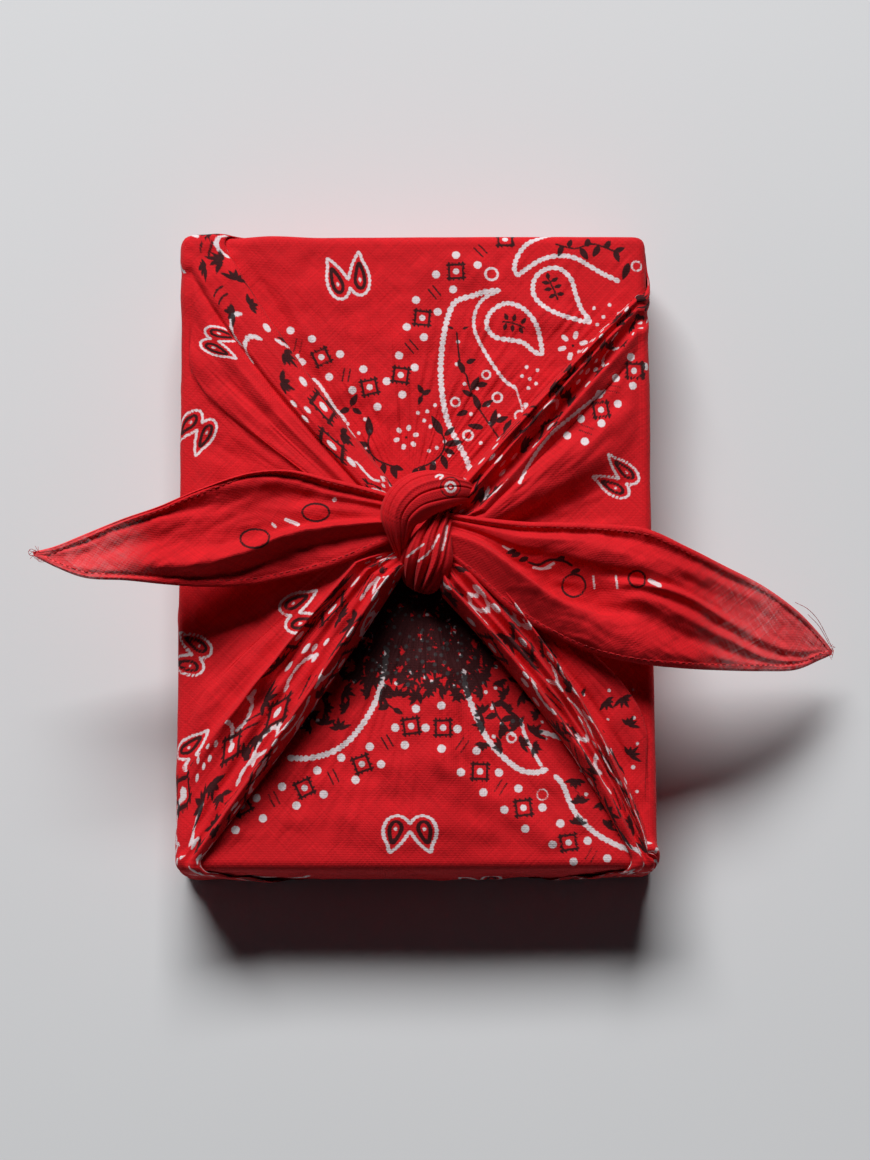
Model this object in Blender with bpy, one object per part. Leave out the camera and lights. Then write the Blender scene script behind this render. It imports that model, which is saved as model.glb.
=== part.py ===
# Furoshiki wrap: one square cotton cloth folded over a flat parcel and tied on top with its own corners.
# The origin is the centre of the underside. +Z is up, +Y runs to the far short side, +X to the right.
# Lengths in the tables below are millimetres; every mesh is written in metres.

import math

import bmesh
import bpy
from mathutils import Vector

MM = 0.001

# Size of the wrapped parcel
WIDTH = 150.0
LENGTH = 205.0
HEIGHT = 35.0

# Cloth and the parcel in it
CLOTH_WALL = 1.5
FIT_GAP = 0.3
EDGE_ROUND = 3.0
CORNER_ROUND = 5.0
FOOT_ROUND = 2.0
PARCEL_ROUND = 6.0
TAIL_THICK = 1.4

# The knot sits a little off the middle
KNOT_X = 3.2
KNOT_Y = 4.8

# How finely the surface is cut
RINGS_ON_TOP = (0.0, 0.07, 0.15, 0.23, 0.32, 0.42, 0.53, 0.64, 0.75, 0.86, 0.94, 1.0)
RIM_STEPS = 3
FOLD_SPLIT = 2
PLAIN_SPACING = 13.0

# Gathered folds run from the parcel's corners to the knot. "at" is where a bundle crosses the rim, measured
# anticlockwise along the rim from the middle of the right side. Each fold is one line along the bundle, and
# its three values are at the knot, half way, and at the rim: "across" is anticlockwise of the bundle's middle
# line, and "up" is above the flat top. Neighbouring rows make the ridges, the valleys and the tucked edges.
BUNDLES = {
    "far_right": {
        "knot": (15.0, 14.0), "half": (49.0, 54.5), "at": 79.0,
        "folds": (
            {"across": (-11.0, -15.0, -13.0), "up": (8.0, 2.6, 0.3)},
            {"across": (-7.0, -9.5, -8.0), "up": (12.0, 6.0, 2.6)},
            {"across": (-4.6, -6.4, -5.4), "up": (8.5, 2.6, 0.8)},
            {"across": (-2.0, -3.4, -2.6), "up": (12.0, 6.4, 3.0)},
            {"across": (0.0, -0.8, 0.2), "up": (8.0, 2.0, 0.6)},
            {"across": (2.6, 2.2, 3.0), "up": (11.5, 5.6, 3.0)},
            {"across": (4.6, 4.0, 5.0), "up": (7.5, 2.6, 1.6)},
            {"across": (4.2, 3.4, 5.6), "up": (0.4, 0.0, 0.0)},
        ),
    },
    "far_left": {
        "knot": (-13.0, 19.0), "half": (-46.0, 63.0), "at": 249.3,
        "folds": (
            {"across": (-3.2, -4.6, -12.6), "up": (0.4, 0.0, 0.0)},
            {"across": (-3.8, -5.2, -11.8), "up": (5.0, 2.0, 1.0)},
            {"across": (-2.0, -3.2, -9.0), "up": (9.0, 4.6, 2.0)},
            {"across": (1.0, 1.4, -2.0), "up": (8.5, 4.0, 2.2)},
            {"across": (3.0, 4.6, 8.0), "up": (9.5, 4.6, 2.4)},
            {"across": (5.0, 7.2, 16.0), "up": (5.5, 1.4, 0.6)},
            {"across": (7.6, 11.0, 22.0), "up": (8.0, 3.4, 0.8)},
        ),
    },
    "near_left": {
        "knot": (-13.5, -11.5), "half": (-45.0, -53.5), "at": 452.1,
        "folds": (
            {"across": (-7.5, -12.5, -9.0), "up": (8.5, 3.0, 0.2)},
            {"across": (-5.2, -8.8, -5.5), "up": (12.0, 6.6, 2.4)},
            {"across": (-3.6, -6.0, -3.6), "up": (8.5, 3.2, 0.8)},
            {"across": (-2.0, -3.4, -2.0), "up": (12.0, 6.8, 2.8)},
            {"across": (-0.4, -0.8, -0.6), "up": (8.5, 3.0, 0.8)},
            {"across": (1.2, 1.8, 1.0), "up": (12.0, 6.2, 2.8)},
            {"across": (2.8, 4.4, 2.6), "up": (9.5, 4.6, 1.0)},
            {"across": (4.4, 6.8, 4.4), "up": (14.0, 9.2, 3.0)},
            {"across": (6.2, 8.6, 6.4), "up": (9.5, 5.0, 1.4)},
            {"across": (5.8, 8.0, 7.0), "up": (0.4, 0.0, 0.0)},
        ),
    },
    "near_right": {
        "knot": (14.0, -14.0), "half": (46.0, -57.0), "at": 600.0,
        "folds": (
            {"across": (-5.4, -7.4, -7.0), "up": (0.4, 0.0, 0.0)},
            {"across": (-5.8, -8.0, -6.4), "up": (8.5, 3.6, 1.4)},
            {"across": (-4.0, -6.0, -4.4), "up": (12.5, 7.2, 2.8)},
            {"across": (-2.4, -3.6, -2.6), "up": (7.5, 2.4, 0.8)},
            {"across": (-0.8, -1.4, -1.0), "up": (11.0, 5.8, 2.8)},
            {"across": (0.8, 1.0, 0.8), "up": (7.5, 2.6, 0.8)},
            {"across": (2.4, 3.4, 2.4), "up": (11.0, 6.0, 2.6)},
            {"across": (4.2, 6.2, 4.4), "up": (8.0, 2.6, 0.6)},
            {"across": (7.0, 10.6, 9.0), "up": (10.0, 4.2, 0.6)},
        ),
    },
}

# The knot draws the folds and side panels up taut. This is added at the knot, half way and at the rim.
DRAWN_UP = (5.0, 3.6, 0.0)

# Plain stretches between the bundles: the flaps lie flat, the side panels rise to the knot in soft waves
PLAINS = {
    "near_panel": (
        {"knot": (20.5, -6.5), "at": 652.0, "up": (8.5, 2.6, 0.2)},
        {"knot": (21.0, -3.4), "at": 678.0, "up": (9.5, 3.4, 0.0)},
        {"knot": (21.5, 0.0), "at": 704.0, "up": (8.5, 2.4, 0.0)},
        {"knot": (21.8, 2.5), "at": 724.0, "up": (9.0, 2.8, 0.0)},
        {"knot": (22.2, 4.6), "at": 744.0, "up": (8.5, 2.4, 0.0)},
    ),
    "far_flap": (
        {"knot": (10.0, 18.6), "at": 90.0, "up": (0.2, 0.0, 0.0)},
        {"knot": (8.2, 19.6), "at": 97.5, "up": (0.2, 0.0, 0.0)},
        {"knot": (7.0, 20.0), "at": 101.4, "up": (0.2, 0.0, 0.0)},
        {"knot": (5.6, 20.4), "at": 105.5, "up": (0.2, 0.0, 0.0)},
        {"knot": (3.0, 21.0), "at": 130.0, "up": (0.2, 0.0, 0.0)},
        {"knot": (-2.0, 21.4), "at": 175.0, "up": (0.2, 0.3, 0.0)},
        {"knot": (-7.0, 21.4), "at": 215.0, "up": (0.2, 0.0, 0.0)},
    ),
    "left_panel": (
        {"knot": (-19.5, 7.5), "at": 305.0, "up": (8.5, 3.4, 0.2)},
        {"knot": (-20.0, 4.5), "at": 330.0, "up": (7.5, 2.2, 0.0)},
        {"knot": (-20.0, 1.5), "at": 354.0, "up": (8.5, 3.0, 0.0)},
        {"knot": (-19.7, -1.8), "at": 378.0, "up": (7.5, 2.0, 0.0)},
        {"knot": (-19.4, -4.4), "at": 396.0, "up": (8.5, 2.6, 0.0)},
    ),
    "near_flap": (
        {"knot": (-6.0, -17.0), "at": 470.0, "up": (0.2, 0.0, 0.0)},
        {"knot": (-1.5, -18.0), "at": 500.0, "up": (0.2, 0.0, 0.0)},
        {"knot": (2.5, -18.4), "at": 526.0, "up": (0.2, 3.2, 0.4)},
        {"knot": (4.4, -18.4), "at": 541.0, "up": (0.2, 3.6, 0.4)},
        {"knot": (6.4, -18.4), "at": 556.0, "up": (0.2, 0.4, 0.0)},
        {"knot": (8.4, -18.2), "at": 580.0, "up": (0.2, 0.0, 0.0)},
    ),
}

# Cloth on the short sides: gussets tucked at each end, and a slack belly between them
GUSSET_STEP = 1.2
GUSSET_FOOT = 38.0
SIDE_BELLY = 1.6

# Free ends of the knot. Each row is one section from knot to tip: its far edge, its near edge, and how far
# the cloth stands above the straight line between them at a quarter, half and three quarters of the way.
LEFT_TAIL = (
    {"far": (-1.0, 11.4, 50.0), "near": (-1.0, 1.4, 48.0), "rise": (1.0, 2.0, 1.0)},
    {"far": (-11.9, 14.3, 54.0), "near": (-10.9, -3.1, 50.5), "rise": (0.8, 0.2, 1.4)},
    {"far": (-26.7, 17.7, 57.0), "near": (-23.7, -9.1, 52.5), "rise": (-0.6, -0.4, 2.2)},
    {"far": (-39.6, 19.9, 58.5), "near": (-38.5, -12.8, 51.0), "rise": (-2.4, 0.2, 3.2)},
    {"far": (-52.4, 18.8, 59.5), "near": (-52.2, -15.5, 52.0), "rise": (-2.4, 0.0, 4.8)},
    {"far": (-66.8, 13.7, 60.0), "near": (-66.2, -16.3, 54.5), "rise": (-1.2, 0.0, 4.0)},
    {"far": (-79.2, 8.4, 59.5), "near": (-77.9, -15.8, 56.0), "rise": (-0.4, -0.4, 2.4)},
    {"far": (-91.0, 4.4, 58.5), "near": (-89.8, -14.8, 56.5), "rise": (-0.4, -0.6, 1.0)},
    {"far": (-103.0, -0.2, 57.0), "near": (-101.9, -13.8, 55.5), "rise": (-0.8, -0.6, 0.2)},
    {"far": (-112.0, -3.4, 55.5), "near": (-111.0, -10.1, 54.5), "rise": (-0.3, -0.4, -0.2)},
    {"far": (-119.0, -5.0, 54.5), "near": (-118.6, -6.3, 54.3), "rise": (0.0, 0.0, 0.0)},
)
RIGHT_TAIL = (
    {"far": (6.0, 8.3, 50.0), "near": (6.0, -2.4, 48.0), "rise": (1.0, 2.0, 1.0)},
    {"far": (19.9, 5.9, 52.0), "near": (18.9, -13.2, 49.5), "rise": (0.6, 3.6, 2.2)},
    {"far": (33.8, 4.1, 53.5), "near": (28.8, -22.5, 49.0), "rise": (1.5, 1.2, 3.6)},
    {"far": (46.7, 3.5, 54.5), "near": (41.2, -30.4, 47.5), "rise": (1.8, -1.2, 6.0)},
    {"far": (59.6, 2.9, 54.5), "near": (54.9, -36.7, 48.0), "rise": (2.4, -1.4, 6.4)},
    {"far": (72.4, 1.5, 54.0), "near": (68.0, -40.0, 48.5), "rise": (1.8, 2.0, 5.2)},
    {"far": (84.7, -3.5, 51.0), "near": (82.3, -41.3, 46.0), "rise": (0.2, 1.0, 1.2)},
    {"far": (97.1, -8.6, 45.0), "near": (96.2, -41.2, 40.0), "rise": (-0.2, 1.6, 0.6)},
    {"far": (110.1, -13.7, 37.0), "near": (109.8, -40.5, 33.0), "rise": (0.1, 0.3, 0.5)},
    {"far": (121.7, -20.2, 28.5), "near": (121.0, -39.1, 26.0), "rise": (0.3, 0.5, 0.4)},
    {"far": (130.1, -26.9, 20.5), "near": (130.0, -34.9, 19.5), "rise": (0.1, 0.2, 0.1)},
    {"far": (134.4, -31.6, 16.6), "near": (134.1, -32.8, 16.4), "rise": (0.0, 0.0, 0.0)},
)
TAIL_ALONG = 26
TAIL_ACROSS = 12

# The two bights of the knot and the core they close on. "half" is half the width and half the thickness.
FAR_BIGHT = (
    {"at": (14.5, 15.5, 40.0), "half": (3.0, 2.0)},
    {"at": (13.0, 16.6, 48.5), "half": (6.0, 4.6)},
    {"at": (6.5, 15.2, 54.0), "half": (9.0, 5.4)},
    {"at": (0.4, 9.9, 55.8), "half": (10.2, 6.0)},
    {"at": (-3.2, 3.5, 54.0), "half": (8.0, 5.4)},
    {"at": (-4.4, -2.6, 49.6), "half": (5.0, 4.2)},
    {"at": (-4.6, -7.0, 41.0), "half": (2.4, 2.2)},
)
NEAR_BIGHT = (
    {"at": (10.4, 6.2, 45.0), "half": (2.4, 2.4)},
    {"at": (8.6, 1.9, 50.0), "half": (4.2, 4.2)},
    {"at": (6.2, -3.3, 52.6), "half": (7.0, 5.0)},
    {"at": (4.4, -8.5, 51.8), "half": (9.0, 5.0)},
    {"at": (3.0, -13.0, 47.0), "half": (9.2, 4.4)},
    {"at": (2.4, -15.6, 40.0), "half": (7.0, 3.0)},
)
BIGHT_ALONG = 18
BIGHT_AROUND = 26
PLEATS = 6
PLEAT_DEPTH = 0.07
CORE_AT = (3.4, 1.0, 42.5)
CORE_HALF = (18.5, 19.0, 11.5)

# The mouth of the pocket under the left panel's tucked edge, by the far rim
MOUTH_AT = (-57.5, 83.5, 34.2)
MOUTH_SIZE = (9.0, 26.0, 1.1)
MOUTH_TURN = math.radians(33.0)
MOUTH_TILT = math.radians(-24.0)

CLOTH_RED = (0.56, 0.012, 0.025, 1.0)
CARTON_TAN = (0.46, 0.34, 0.22, 1.0)


def clear_scene():
    for old in list(bpy.data.objects):
        bpy.data.objects.remove(old)


def finish(name, colour, roughness):
    """A plain surface finish."""
    material = bpy.data.materials.new(name)
    material.use_nodes = True
    shader = material.node_tree.nodes["Principled BSDF"]
    shader.inputs["Base Color"].default_value = colour
    shader.inputs["Roughness"].default_value = roughness
    shader.inputs["Metallic"].default_value = 0.0
    return material


def three_way(values, s):
    """Smooth value at s, through the values at 0, one half and 1."""
    start, half, end = values
    return start * (1 - s) * (1 - 2 * s) + half * 4 * s * (1 - s) + end * s * (2 * s - 1)


def ease(value, low, high):
    t = min(max((value - low) / (high - low), 0.0), 1.0)
    return t * t * (3 - 2 * t)


def rim(at):
    """Point and outward direction on the parcel's rim, a rectangle with round corners."""
    half_x = WIDTH / 2 - CORNER_ROUND
    half_y = LENGTH / 2 - CORNER_ROUND
    arc = CORNER_ROUND * math.pi / 2
    at = at % (4 * (half_x + half_y) + 4 * arc)
    sides = (
        (half_y, Vector((WIDTH / 2, 0)), Vector((0, 1))),
        (2 * half_x, Vector((half_x, LENGTH / 2)), Vector((-1, 0))),
        (2 * half_y, Vector((-WIDTH / 2, half_y)), Vector((0, -1))),
        (2 * half_x, Vector((-half_x, -LENGTH / 2)), Vector((1, 0))),
        (half_y, Vector((WIDTH / 2, -half_y)), Vector((0, 1))),
    )
    for length, start, along in sides:
        out = Vector((along.y, -along.x))
        if at <= length:
            return start + along * at, out
        at -= length
        if at <= arc:
            turn = at / CORNER_ROUND
            middle = start + along * length - out * CORNER_ROUND
            out = out * math.cos(turn) + along * math.sin(turn)
            return middle + out * CORNER_ROUND, out
        at -= arc
    return sides[0][1], Vector((1, 0))


def rim_inset(at):
    point, out = rim(at)
    return point - out * EDGE_ROUND


def drawn_up(up):
    """Heights of a line of the folds and panels, but not of a flap or a tucked edge, which lie flat."""
    if up[0] < 1.0:
        return up
    return [height + more for height, more in zip(up, DRAWN_UP)]


def bundle_line(bundle, fold):
    """One fold of a bundle: its place at s, from the knot (0) to the rim (1), and its place on the rim."""
    start = Vector(bundle["knot"])
    ahead = (rim_inset(bundle["at"]) - start).normalized()
    side = Vector((-ahead.y, ahead.x))
    at = bundle["at"] + fold["across"][2]
    points = (
        start + side * fold["across"][0],
        Vector(bundle["half"]) + side * fold["across"][1],
        rim_inset(at),
    )

    def place(s):
        return Vector((three_way([p.x for p in points], s), three_way([p.y for p in points], s),
                       max(three_way(drawn_up(fold["up"]), s), 0.0)))

    return {"place": place, "at": at, "split": FOLD_SPLIT}


def plain_line(row):
    start = Vector(row["knot"])
    end = rim_inset(row["at"])

    def place(s):
        flat = start.lerp(end, s)
        return Vector((flat.x, flat.y, max(three_way(drawn_up(row["up"]), s), 0.0)))

    return {"place": place, "at": row["at"], "split": None}


def all_lines():
    """Every line round the knot, anticlockwise from the right."""
    order = (
        ("bundle", "far_right"), ("plain", "far_flap"), ("bundle", "far_left"), ("plain", "left_panel"),
        ("bundle", "near_left"), ("plain", "near_flap"), ("bundle", "near_right"), ("plain", "near_panel"),
    )
    lines = []
    for kind, name in order:
        if kind == "bundle":
            lines += [bundle_line(BUNDLES[name], fold) for fold in BUNDLES[name]["folds"]]
        else:
            lines += [plain_line(row) for row in PLAINS[name]]
    return lines


def rim_length():
    straight = 2 * (WIDTH + LENGTH) - 8 * CORNER_ROUND
    return straight + 2 * math.pi * CORNER_ROUND


def hermite(before, start, end, after, t, gaps):
    """Point between start and end on a smooth curve, with uneven spacing taken into account."""
    gap_in, gap, gap_out = gaps
    slope_start = ((start - before) / gap_in * gap + (end - start) / gap * gap_in) / (gap_in + gap)
    slope_end = ((end - start) / gap * gap_out + (after - end) / gap_out * gap) / (gap + gap_out)
    a = 2 * t ** 3 - 3 * t ** 2 + 1
    b = t ** 3 - 2 * t ** 2 + t
    c = -2 * t ** 3 + 3 * t ** 2
    d = t ** 3 - t ** 2
    return start * a + slope_start * gap * b + end * c + slope_end * gap * d


def columns(lines):
    """Each column of the mesh: which two lines it lies between, how far, and its place on the rim."""
    around = rim_length()
    count = len(lines)
    found = []
    for i, line in enumerate(lines):
        after = lines[(i + 1) % count]
        width = (after["at"] - line["at"]) % around
        if width > around / 2:
            width -= around
        pieces = line["split"] or max(1, round(abs(width) / PLAIN_SPACING))
        for k in range(pieces):
            t = k / pieces
            found.append((i, t, line["at"] + width * t))
    return found


def top_ring(lines, places, s):
    count = len(lines)
    points = [line["place"](s) for line in lines]
    gaps = [max((points[(i + 1) % count] - points[i]).length, 0.2) for i in range(count)]
    ring = []
    for i, t, at in places:
        near = [points[(i + k) % count] for k in (-1, 0, 1, 2)]
        around = [gaps[(i + k) % count] for k in (-1, 0, 1)]
        p = hermite(*near, t, around)
        if s >= 1.0:
            flat = rim_inset(at)
            p = Vector((flat.x, flat.y, p.z))
        ring.append(Vector((p.x, p.y, HEIGHT + max(p.z, 0.0))))
    return ring


def gusset(point, height):
    """How far the tucked end of a short side stands out over the slack middle."""
    edge = WIDTH / 2 - GUSSET_FOOT * (1 - height / HEIGHT)
    return GUSSET_STEP * ease(abs(point.x) - edge, -1.5, 1.5)


def side_ring(places, crown, drop, inset):
    """A ring below the rim: drop is how far down, inset how far in from the wall."""
    ring = []
    height = HEIGHT - drop
    for (_, _, at), up in zip(places, crown):
        point, out = rim(at)
        fade = ease(height, HEIGHT * 0.25, HEIGHT)
        push = up * 0.35 * fade - inset
        if abs(out.y) > 0.9:
            middle = max(0.0, 1 - (2 * point.x / WIDTH) ** 2)
            bow = math.sin(math.pi * height / HEIGHT)
            push += SIDE_BELLY * middle * bow + gusset(point, height) * bow
        lift = up * (1 - drop / EDGE_ROUND) if drop < EDGE_ROUND else 0.0
        flat = point + out * push
        ring.append(Vector((flat.x, flat.y, height + lift)))
    return ring


def skin_of_rings(rings, top, bottom):
    """A closed mesh from rings of equal count, from the top one to the bottom one."""
    mesh = bmesh.new()
    rows = [[mesh.verts.new(p * MM) for p in ring] for ring in rings]
    count = len(rows[0])
    for upper, lower in zip(rows, rows[1:]):
        for i in range(count):
            j = (i + 1) % count
            mesh.faces.new((upper[i], lower[i], lower[j]))
            mesh.faces.new((upper[i], lower[j], upper[j]))
    for row, middle, flip in ((rows[0], top, False), (rows[-1], bottom, True)):
        hub = mesh.verts.new(middle * MM)
        for i in range(count):
            j = (i + 1) % count
            face = (row[j], row[i], hub) if flip else (row[i], row[j], hub)
            mesh.faces.new(face)
    bmesh.ops.recalc_face_normals(mesh, faces=mesh.faces)
    return mesh


def add_object(name, mesh, material=None):
    data = bpy.data.meshes.new(name)
    mesh.to_mesh(data)
    mesh.free()
    thing = bpy.data.objects.new(name, data)
    bpy.context.scene.collection.objects.link(thing)
    if material:
        data.materials.append(material)
    return thing


def hide_as_tool(thing):
    thing.hide_render = True
    thing.display_type = "WIRE"


def wrapped_body():
    """The cloth drawn over the parcel, as its outer skin filled in."""
    lines = all_lines()
    places = columns(lines)
    rings = [top_ring(lines, places, s) for s in RINGS_ON_TOP]
    crown = [p.z - HEIGHT for p in rings[-1]]
    for k in range(1, RIM_STEPS + 1):
        turn = math.pi / 2 * k / RIM_STEPS
        drop = EDGE_ROUND * (1 - math.cos(turn))
        rings.append(side_ring(places, crown, drop, EDGE_ROUND * (1 - math.sin(turn))))
    for part in (0.35, 0.6, 0.82):
        rings.append(side_ring(places, crown, HEIGHT * part, 0.0))
    rings.append(side_ring(places, crown, HEIGHT - FOOT_ROUND, 0.0))
    rings.append(side_ring(places, crown, HEIGHT, FOOT_ROUND))
    top = Vector((KNOT_X, KNOT_Y, HEIGHT + 8.0))
    return skin_of_rings(rings, top, Vector((0.0, 0.0, 0.0)))


def spline(values, s):
    """Smooth value along a list of points that are evenly spaced in s."""
    spans = len(values) - 1
    i = min(int(s * spans), spans - 1)
    near = [values[min(max(i + k, 0), spans)] for k in (-1, 0, 1, 2)]
    return hermite(*near, s * spans - i, (1.0, 1.0, 1.0))


def tail_point(rows, s, t):
    """Point on a free end: s runs from knot to tip, t from its far edge to its near edge."""
    far = spline([Vector(row["far"]) for row in rows], s)
    near = spline([Vector(row["near"]) for row in rows], s)
    quarters = [0.0] * 5
    for k in range(3):
        quarters[k + 1] = spline([Vector((row["rise"][k], 0, 0)) for row in rows], s).x
    rise = spline([Vector((q, 0, 0)) for q in quarters], t).x
    return far.lerp(near, t) + Vector((0, 0, rise))


def tail(rows):
    """A free end as a thin sheet with a top, an underside and an edge all round."""
    mesh = bmesh.new()
    top = []
    under = []
    for i in range(TAIL_ALONG + 1):
        line = [tail_point(rows, i / TAIL_ALONG, k / TAIL_ACROSS) for k in range(TAIL_ACROSS + 1)]
        top.append([mesh.verts.new(p * MM) for p in line])
        under.append([mesh.verts.new((p - Vector((0, 0, TAIL_THICK))) * MM) for p in line])
    for i in range(TAIL_ALONG):
        for k in range(TAIL_ACROSS):
            mesh.faces.new((top[i][k], top[i + 1][k], top[i + 1][k + 1], top[i][k + 1]))
            mesh.faces.new((under[i][k + 1], under[i + 1][k + 1], under[i + 1][k], under[i][k]))
    border = [(i, 0) for i in range(TAIL_ALONG)]
    border += [(TAIL_ALONG, k) for k in range(TAIL_ACROSS)]
    border += [(i, TAIL_ACROSS) for i in range(TAIL_ALONG, 0, -1)]
    border += [(0, k) for k in range(TAIL_ACROSS, 0, -1)]
    for (a, b), (c, d) in zip(border, border[1:] + border[:1]):
        mesh.faces.new((top[a][b], under[a][b], under[c][d], top[c][d]))
    bmesh.ops.recalc_face_normals(mesh, faces=mesh.faces)
    bmesh.ops.triangulate(mesh, faces=mesh.faces)
    return mesh


def bight(rows):
    """One turn of the knot: a flattened, pleated tube along its rows."""
    path = [Vector(row["at"]) for row in rows]
    halves = [Vector((row["half"][0], row["half"][1], 0)) for row in rows]
    rings = []
    for i in range(BIGHT_ALONG + 1):
        s = i / BIGHT_ALONG
        here = spline(path, s)
        ahead = (spline(path, min(s + 0.02, 1.0)) - spline(path, max(s - 0.02, 0.0))).normalized()
        side = Vector((0, 0, 1)).cross(ahead).normalized()
        lift = ahead.cross(side)
        half = spline(halves, s)
        ring = []
        for k in range(BIGHT_AROUND):
            turn = 2 * math.pi * k / BIGHT_AROUND
            pleat = 1 + PLEAT_DEPTH * math.cos(PLEATS * turn)
            ring.append(here + side * half.x * pleat * math.cos(turn) + lift * half.y * pleat * math.sin(turn))
        rings.append(ring)
    return skin_of_rings(rings, path[0], path[-1])


def ball(at, half):
    mesh = bmesh.new()
    bmesh.ops.create_uvsphere(mesh, u_segments=20, v_segments=10, radius=1.0)
    for vert in mesh.verts:
        vert.co = Vector([(at[k] + vert.co[k] * half[k]) * MM for k in range(3)])
    return mesh


def block(size):
    mesh = bmesh.new()
    bmesh.ops.create_cube(mesh, size=1.0)
    for vert in mesh.verts:
        vert.co = Vector([vert.co[k] * size[k] * MM for k in range(3)])
    return mesh


def round_edges(thing, width, segments):
    bevel = thing.modifiers.new("Rounded edges", "BEVEL")
    bevel.width = width * MM
    bevel.segments = segments


def combine(thing, other, operation):
    step = thing.modifiers.new(operation.title() + " " + other.name, "BOOLEAN")
    step.operation = operation
    step.solver = "EXACT"
    step.object = other
    hide_as_tool(other)


def furoshiki_cloth():
    """The whole cloth: body, both free ends and the knot, hollow where the parcel lies."""
    cotton = finish("red printed cotton", CLOTH_RED, 0.85)
    cloth = add_object("furoshiki_cloth", wrapped_body(), cotton)
    for name, mesh in (
        ("knot_core", ball(CORE_AT, CORE_HALF)),
        ("far_bight", bight(FAR_BIGHT)),
        ("near_bight", bight(NEAR_BIGHT)),
        ("left_tail", tail(LEFT_TAIL)),
        ("right_tail", tail(RIGHT_TAIL)),
    ):
        combine(cloth, add_object(name, mesh), "UNION")
    hollow = add_object("parcel_space", block((WIDTH - 2 * CLOTH_WALL, LENGTH - 2 * CLOTH_WALL,
                                               HEIGHT - 2 * CLOTH_WALL)))
    hollow.location = Vector((0, 0, HEIGHT / 2)) * MM
    round_edges(hollow, EDGE_ROUND - CLOTH_WALL, 2)
    combine(cloth, hollow, "DIFFERENCE")
    mouth = add_object("pocket_mouth", block(MOUTH_SIZE))
    mouth.location = Vector(MOUTH_AT) * MM
    mouth.rotation_euler = (0, MOUTH_TILT, MOUTH_TURN)
    combine(cloth, mouth, "DIFFERENCE")
    return cloth


def parcel():
    """The flat carton inside, its edges kept clear of the cloth."""
    carton = finish("carton board", CARTON_TAN, 0.8)
    inset = 2 * (CLOTH_WALL + FIT_GAP)
    thing = add_object("parcel", block((WIDTH - inset, LENGTH - inset, HEIGHT - inset)), carton)
    thing.location = Vector((0, 0, HEIGHT / 2)) * MM
    round_edges(thing, PARCEL_ROUND, 3)
    return thing


def main():
    clear_scene()
    furoshiki_cloth()
    parcel()


main()
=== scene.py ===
# The looks of a furoshiki wrap: one printed cotton square drawn over a flat parcel and tied on top with two
# of its own corners. Lengths in the tables are millimetres, and every mesh is written in metres, with +Z up,
# +Y to the far short side and +X to the right, as in the frame.

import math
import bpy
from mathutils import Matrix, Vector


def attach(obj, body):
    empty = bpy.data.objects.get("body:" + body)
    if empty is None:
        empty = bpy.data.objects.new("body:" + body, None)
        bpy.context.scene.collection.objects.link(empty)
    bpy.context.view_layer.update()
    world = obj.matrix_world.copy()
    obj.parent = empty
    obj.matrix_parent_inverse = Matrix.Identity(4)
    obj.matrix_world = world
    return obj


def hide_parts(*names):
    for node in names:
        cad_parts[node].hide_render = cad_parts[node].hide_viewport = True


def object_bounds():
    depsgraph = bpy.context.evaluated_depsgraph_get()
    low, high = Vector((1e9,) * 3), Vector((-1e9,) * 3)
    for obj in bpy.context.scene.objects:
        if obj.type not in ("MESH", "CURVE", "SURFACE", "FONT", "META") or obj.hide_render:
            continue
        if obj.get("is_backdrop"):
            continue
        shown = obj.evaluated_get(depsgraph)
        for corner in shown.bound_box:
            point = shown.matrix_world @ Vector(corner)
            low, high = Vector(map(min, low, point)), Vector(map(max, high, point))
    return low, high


bl_info = {
    "name": "Furoshiki wrap",
    "version": (1, 0, 0),
    "blender": (4, 5, 0),
    "location": "3D View > Sidebar > Furoshiki",
    "description": "Printed cotton cloth tied round a flat parcel, with its knot, free ends, hems and stage",
    "category": "Object",
}

import bpy
import numpy as np
from mathutils import Matrix, Vector

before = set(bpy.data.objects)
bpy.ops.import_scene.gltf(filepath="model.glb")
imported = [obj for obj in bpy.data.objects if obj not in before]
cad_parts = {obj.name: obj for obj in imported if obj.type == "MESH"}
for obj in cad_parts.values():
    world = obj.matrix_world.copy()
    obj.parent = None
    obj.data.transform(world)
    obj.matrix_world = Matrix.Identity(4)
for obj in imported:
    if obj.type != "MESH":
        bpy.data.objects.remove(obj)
SOLID_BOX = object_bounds()
MM = 0.001

# The wrapped parcel and its cloth
WIDTH = 150.0
LENGTH = 205.0
HEIGHT = 35.0
EDGE_ROUND = 3.0
CORNER_ROUND = 5.0
FOOT_ROUND = 2.0
FOOT_INSET = 3.5
# The underside's print is taken this far to the right of the wrap
UNDERSIDE_SHIFT = 170.0
CORNER_POWER = 3.2
RIM_LENGTH = 2 * (WIDTH + LENGTH) - 8 * CORNER_ROUND + 2 * math.pi * CORNER_ROUND

# Rows of the cloth's mesh, from the knot to the rim and down the wall
TOP_ROWS = 190
ROWS_IN_KNOT = 16
KNOT_MIDDLE = (3.4, 1.0)
# How far the far flap runs on, flat, under the knot
UNDER_KNOT = 32.0
COLUMN_STEP = 0.62
PLAIN_STEP = 0.95

# Gathered folds run from the parcel's corners to the knot. "at" is the place on the rim, measured
# anticlockwise from the middle of the right side. Each fold is a line with values at the knot, half way and
# at the rim: "across" is anticlockwise of the bundle's middle line, and "up" is above the flat top.
BUNDLES = {
    "far_right": {"knot": (15.0, 14.0), "half": (49.0, 54.5), "at": 79.0},
    "far_left": {"knot": (-13.0, 19.0), "half": (-46.0, 63.0), "at": 249.3},
    "near_left": {"knot": (-13.5, -11.5), "half": (-45.0, -53.5), "at": 452.1},
    "near_right": {"knot": (14.0, -14.0), "half": (46.0, -57.0), "at": 600.0},
}

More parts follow.
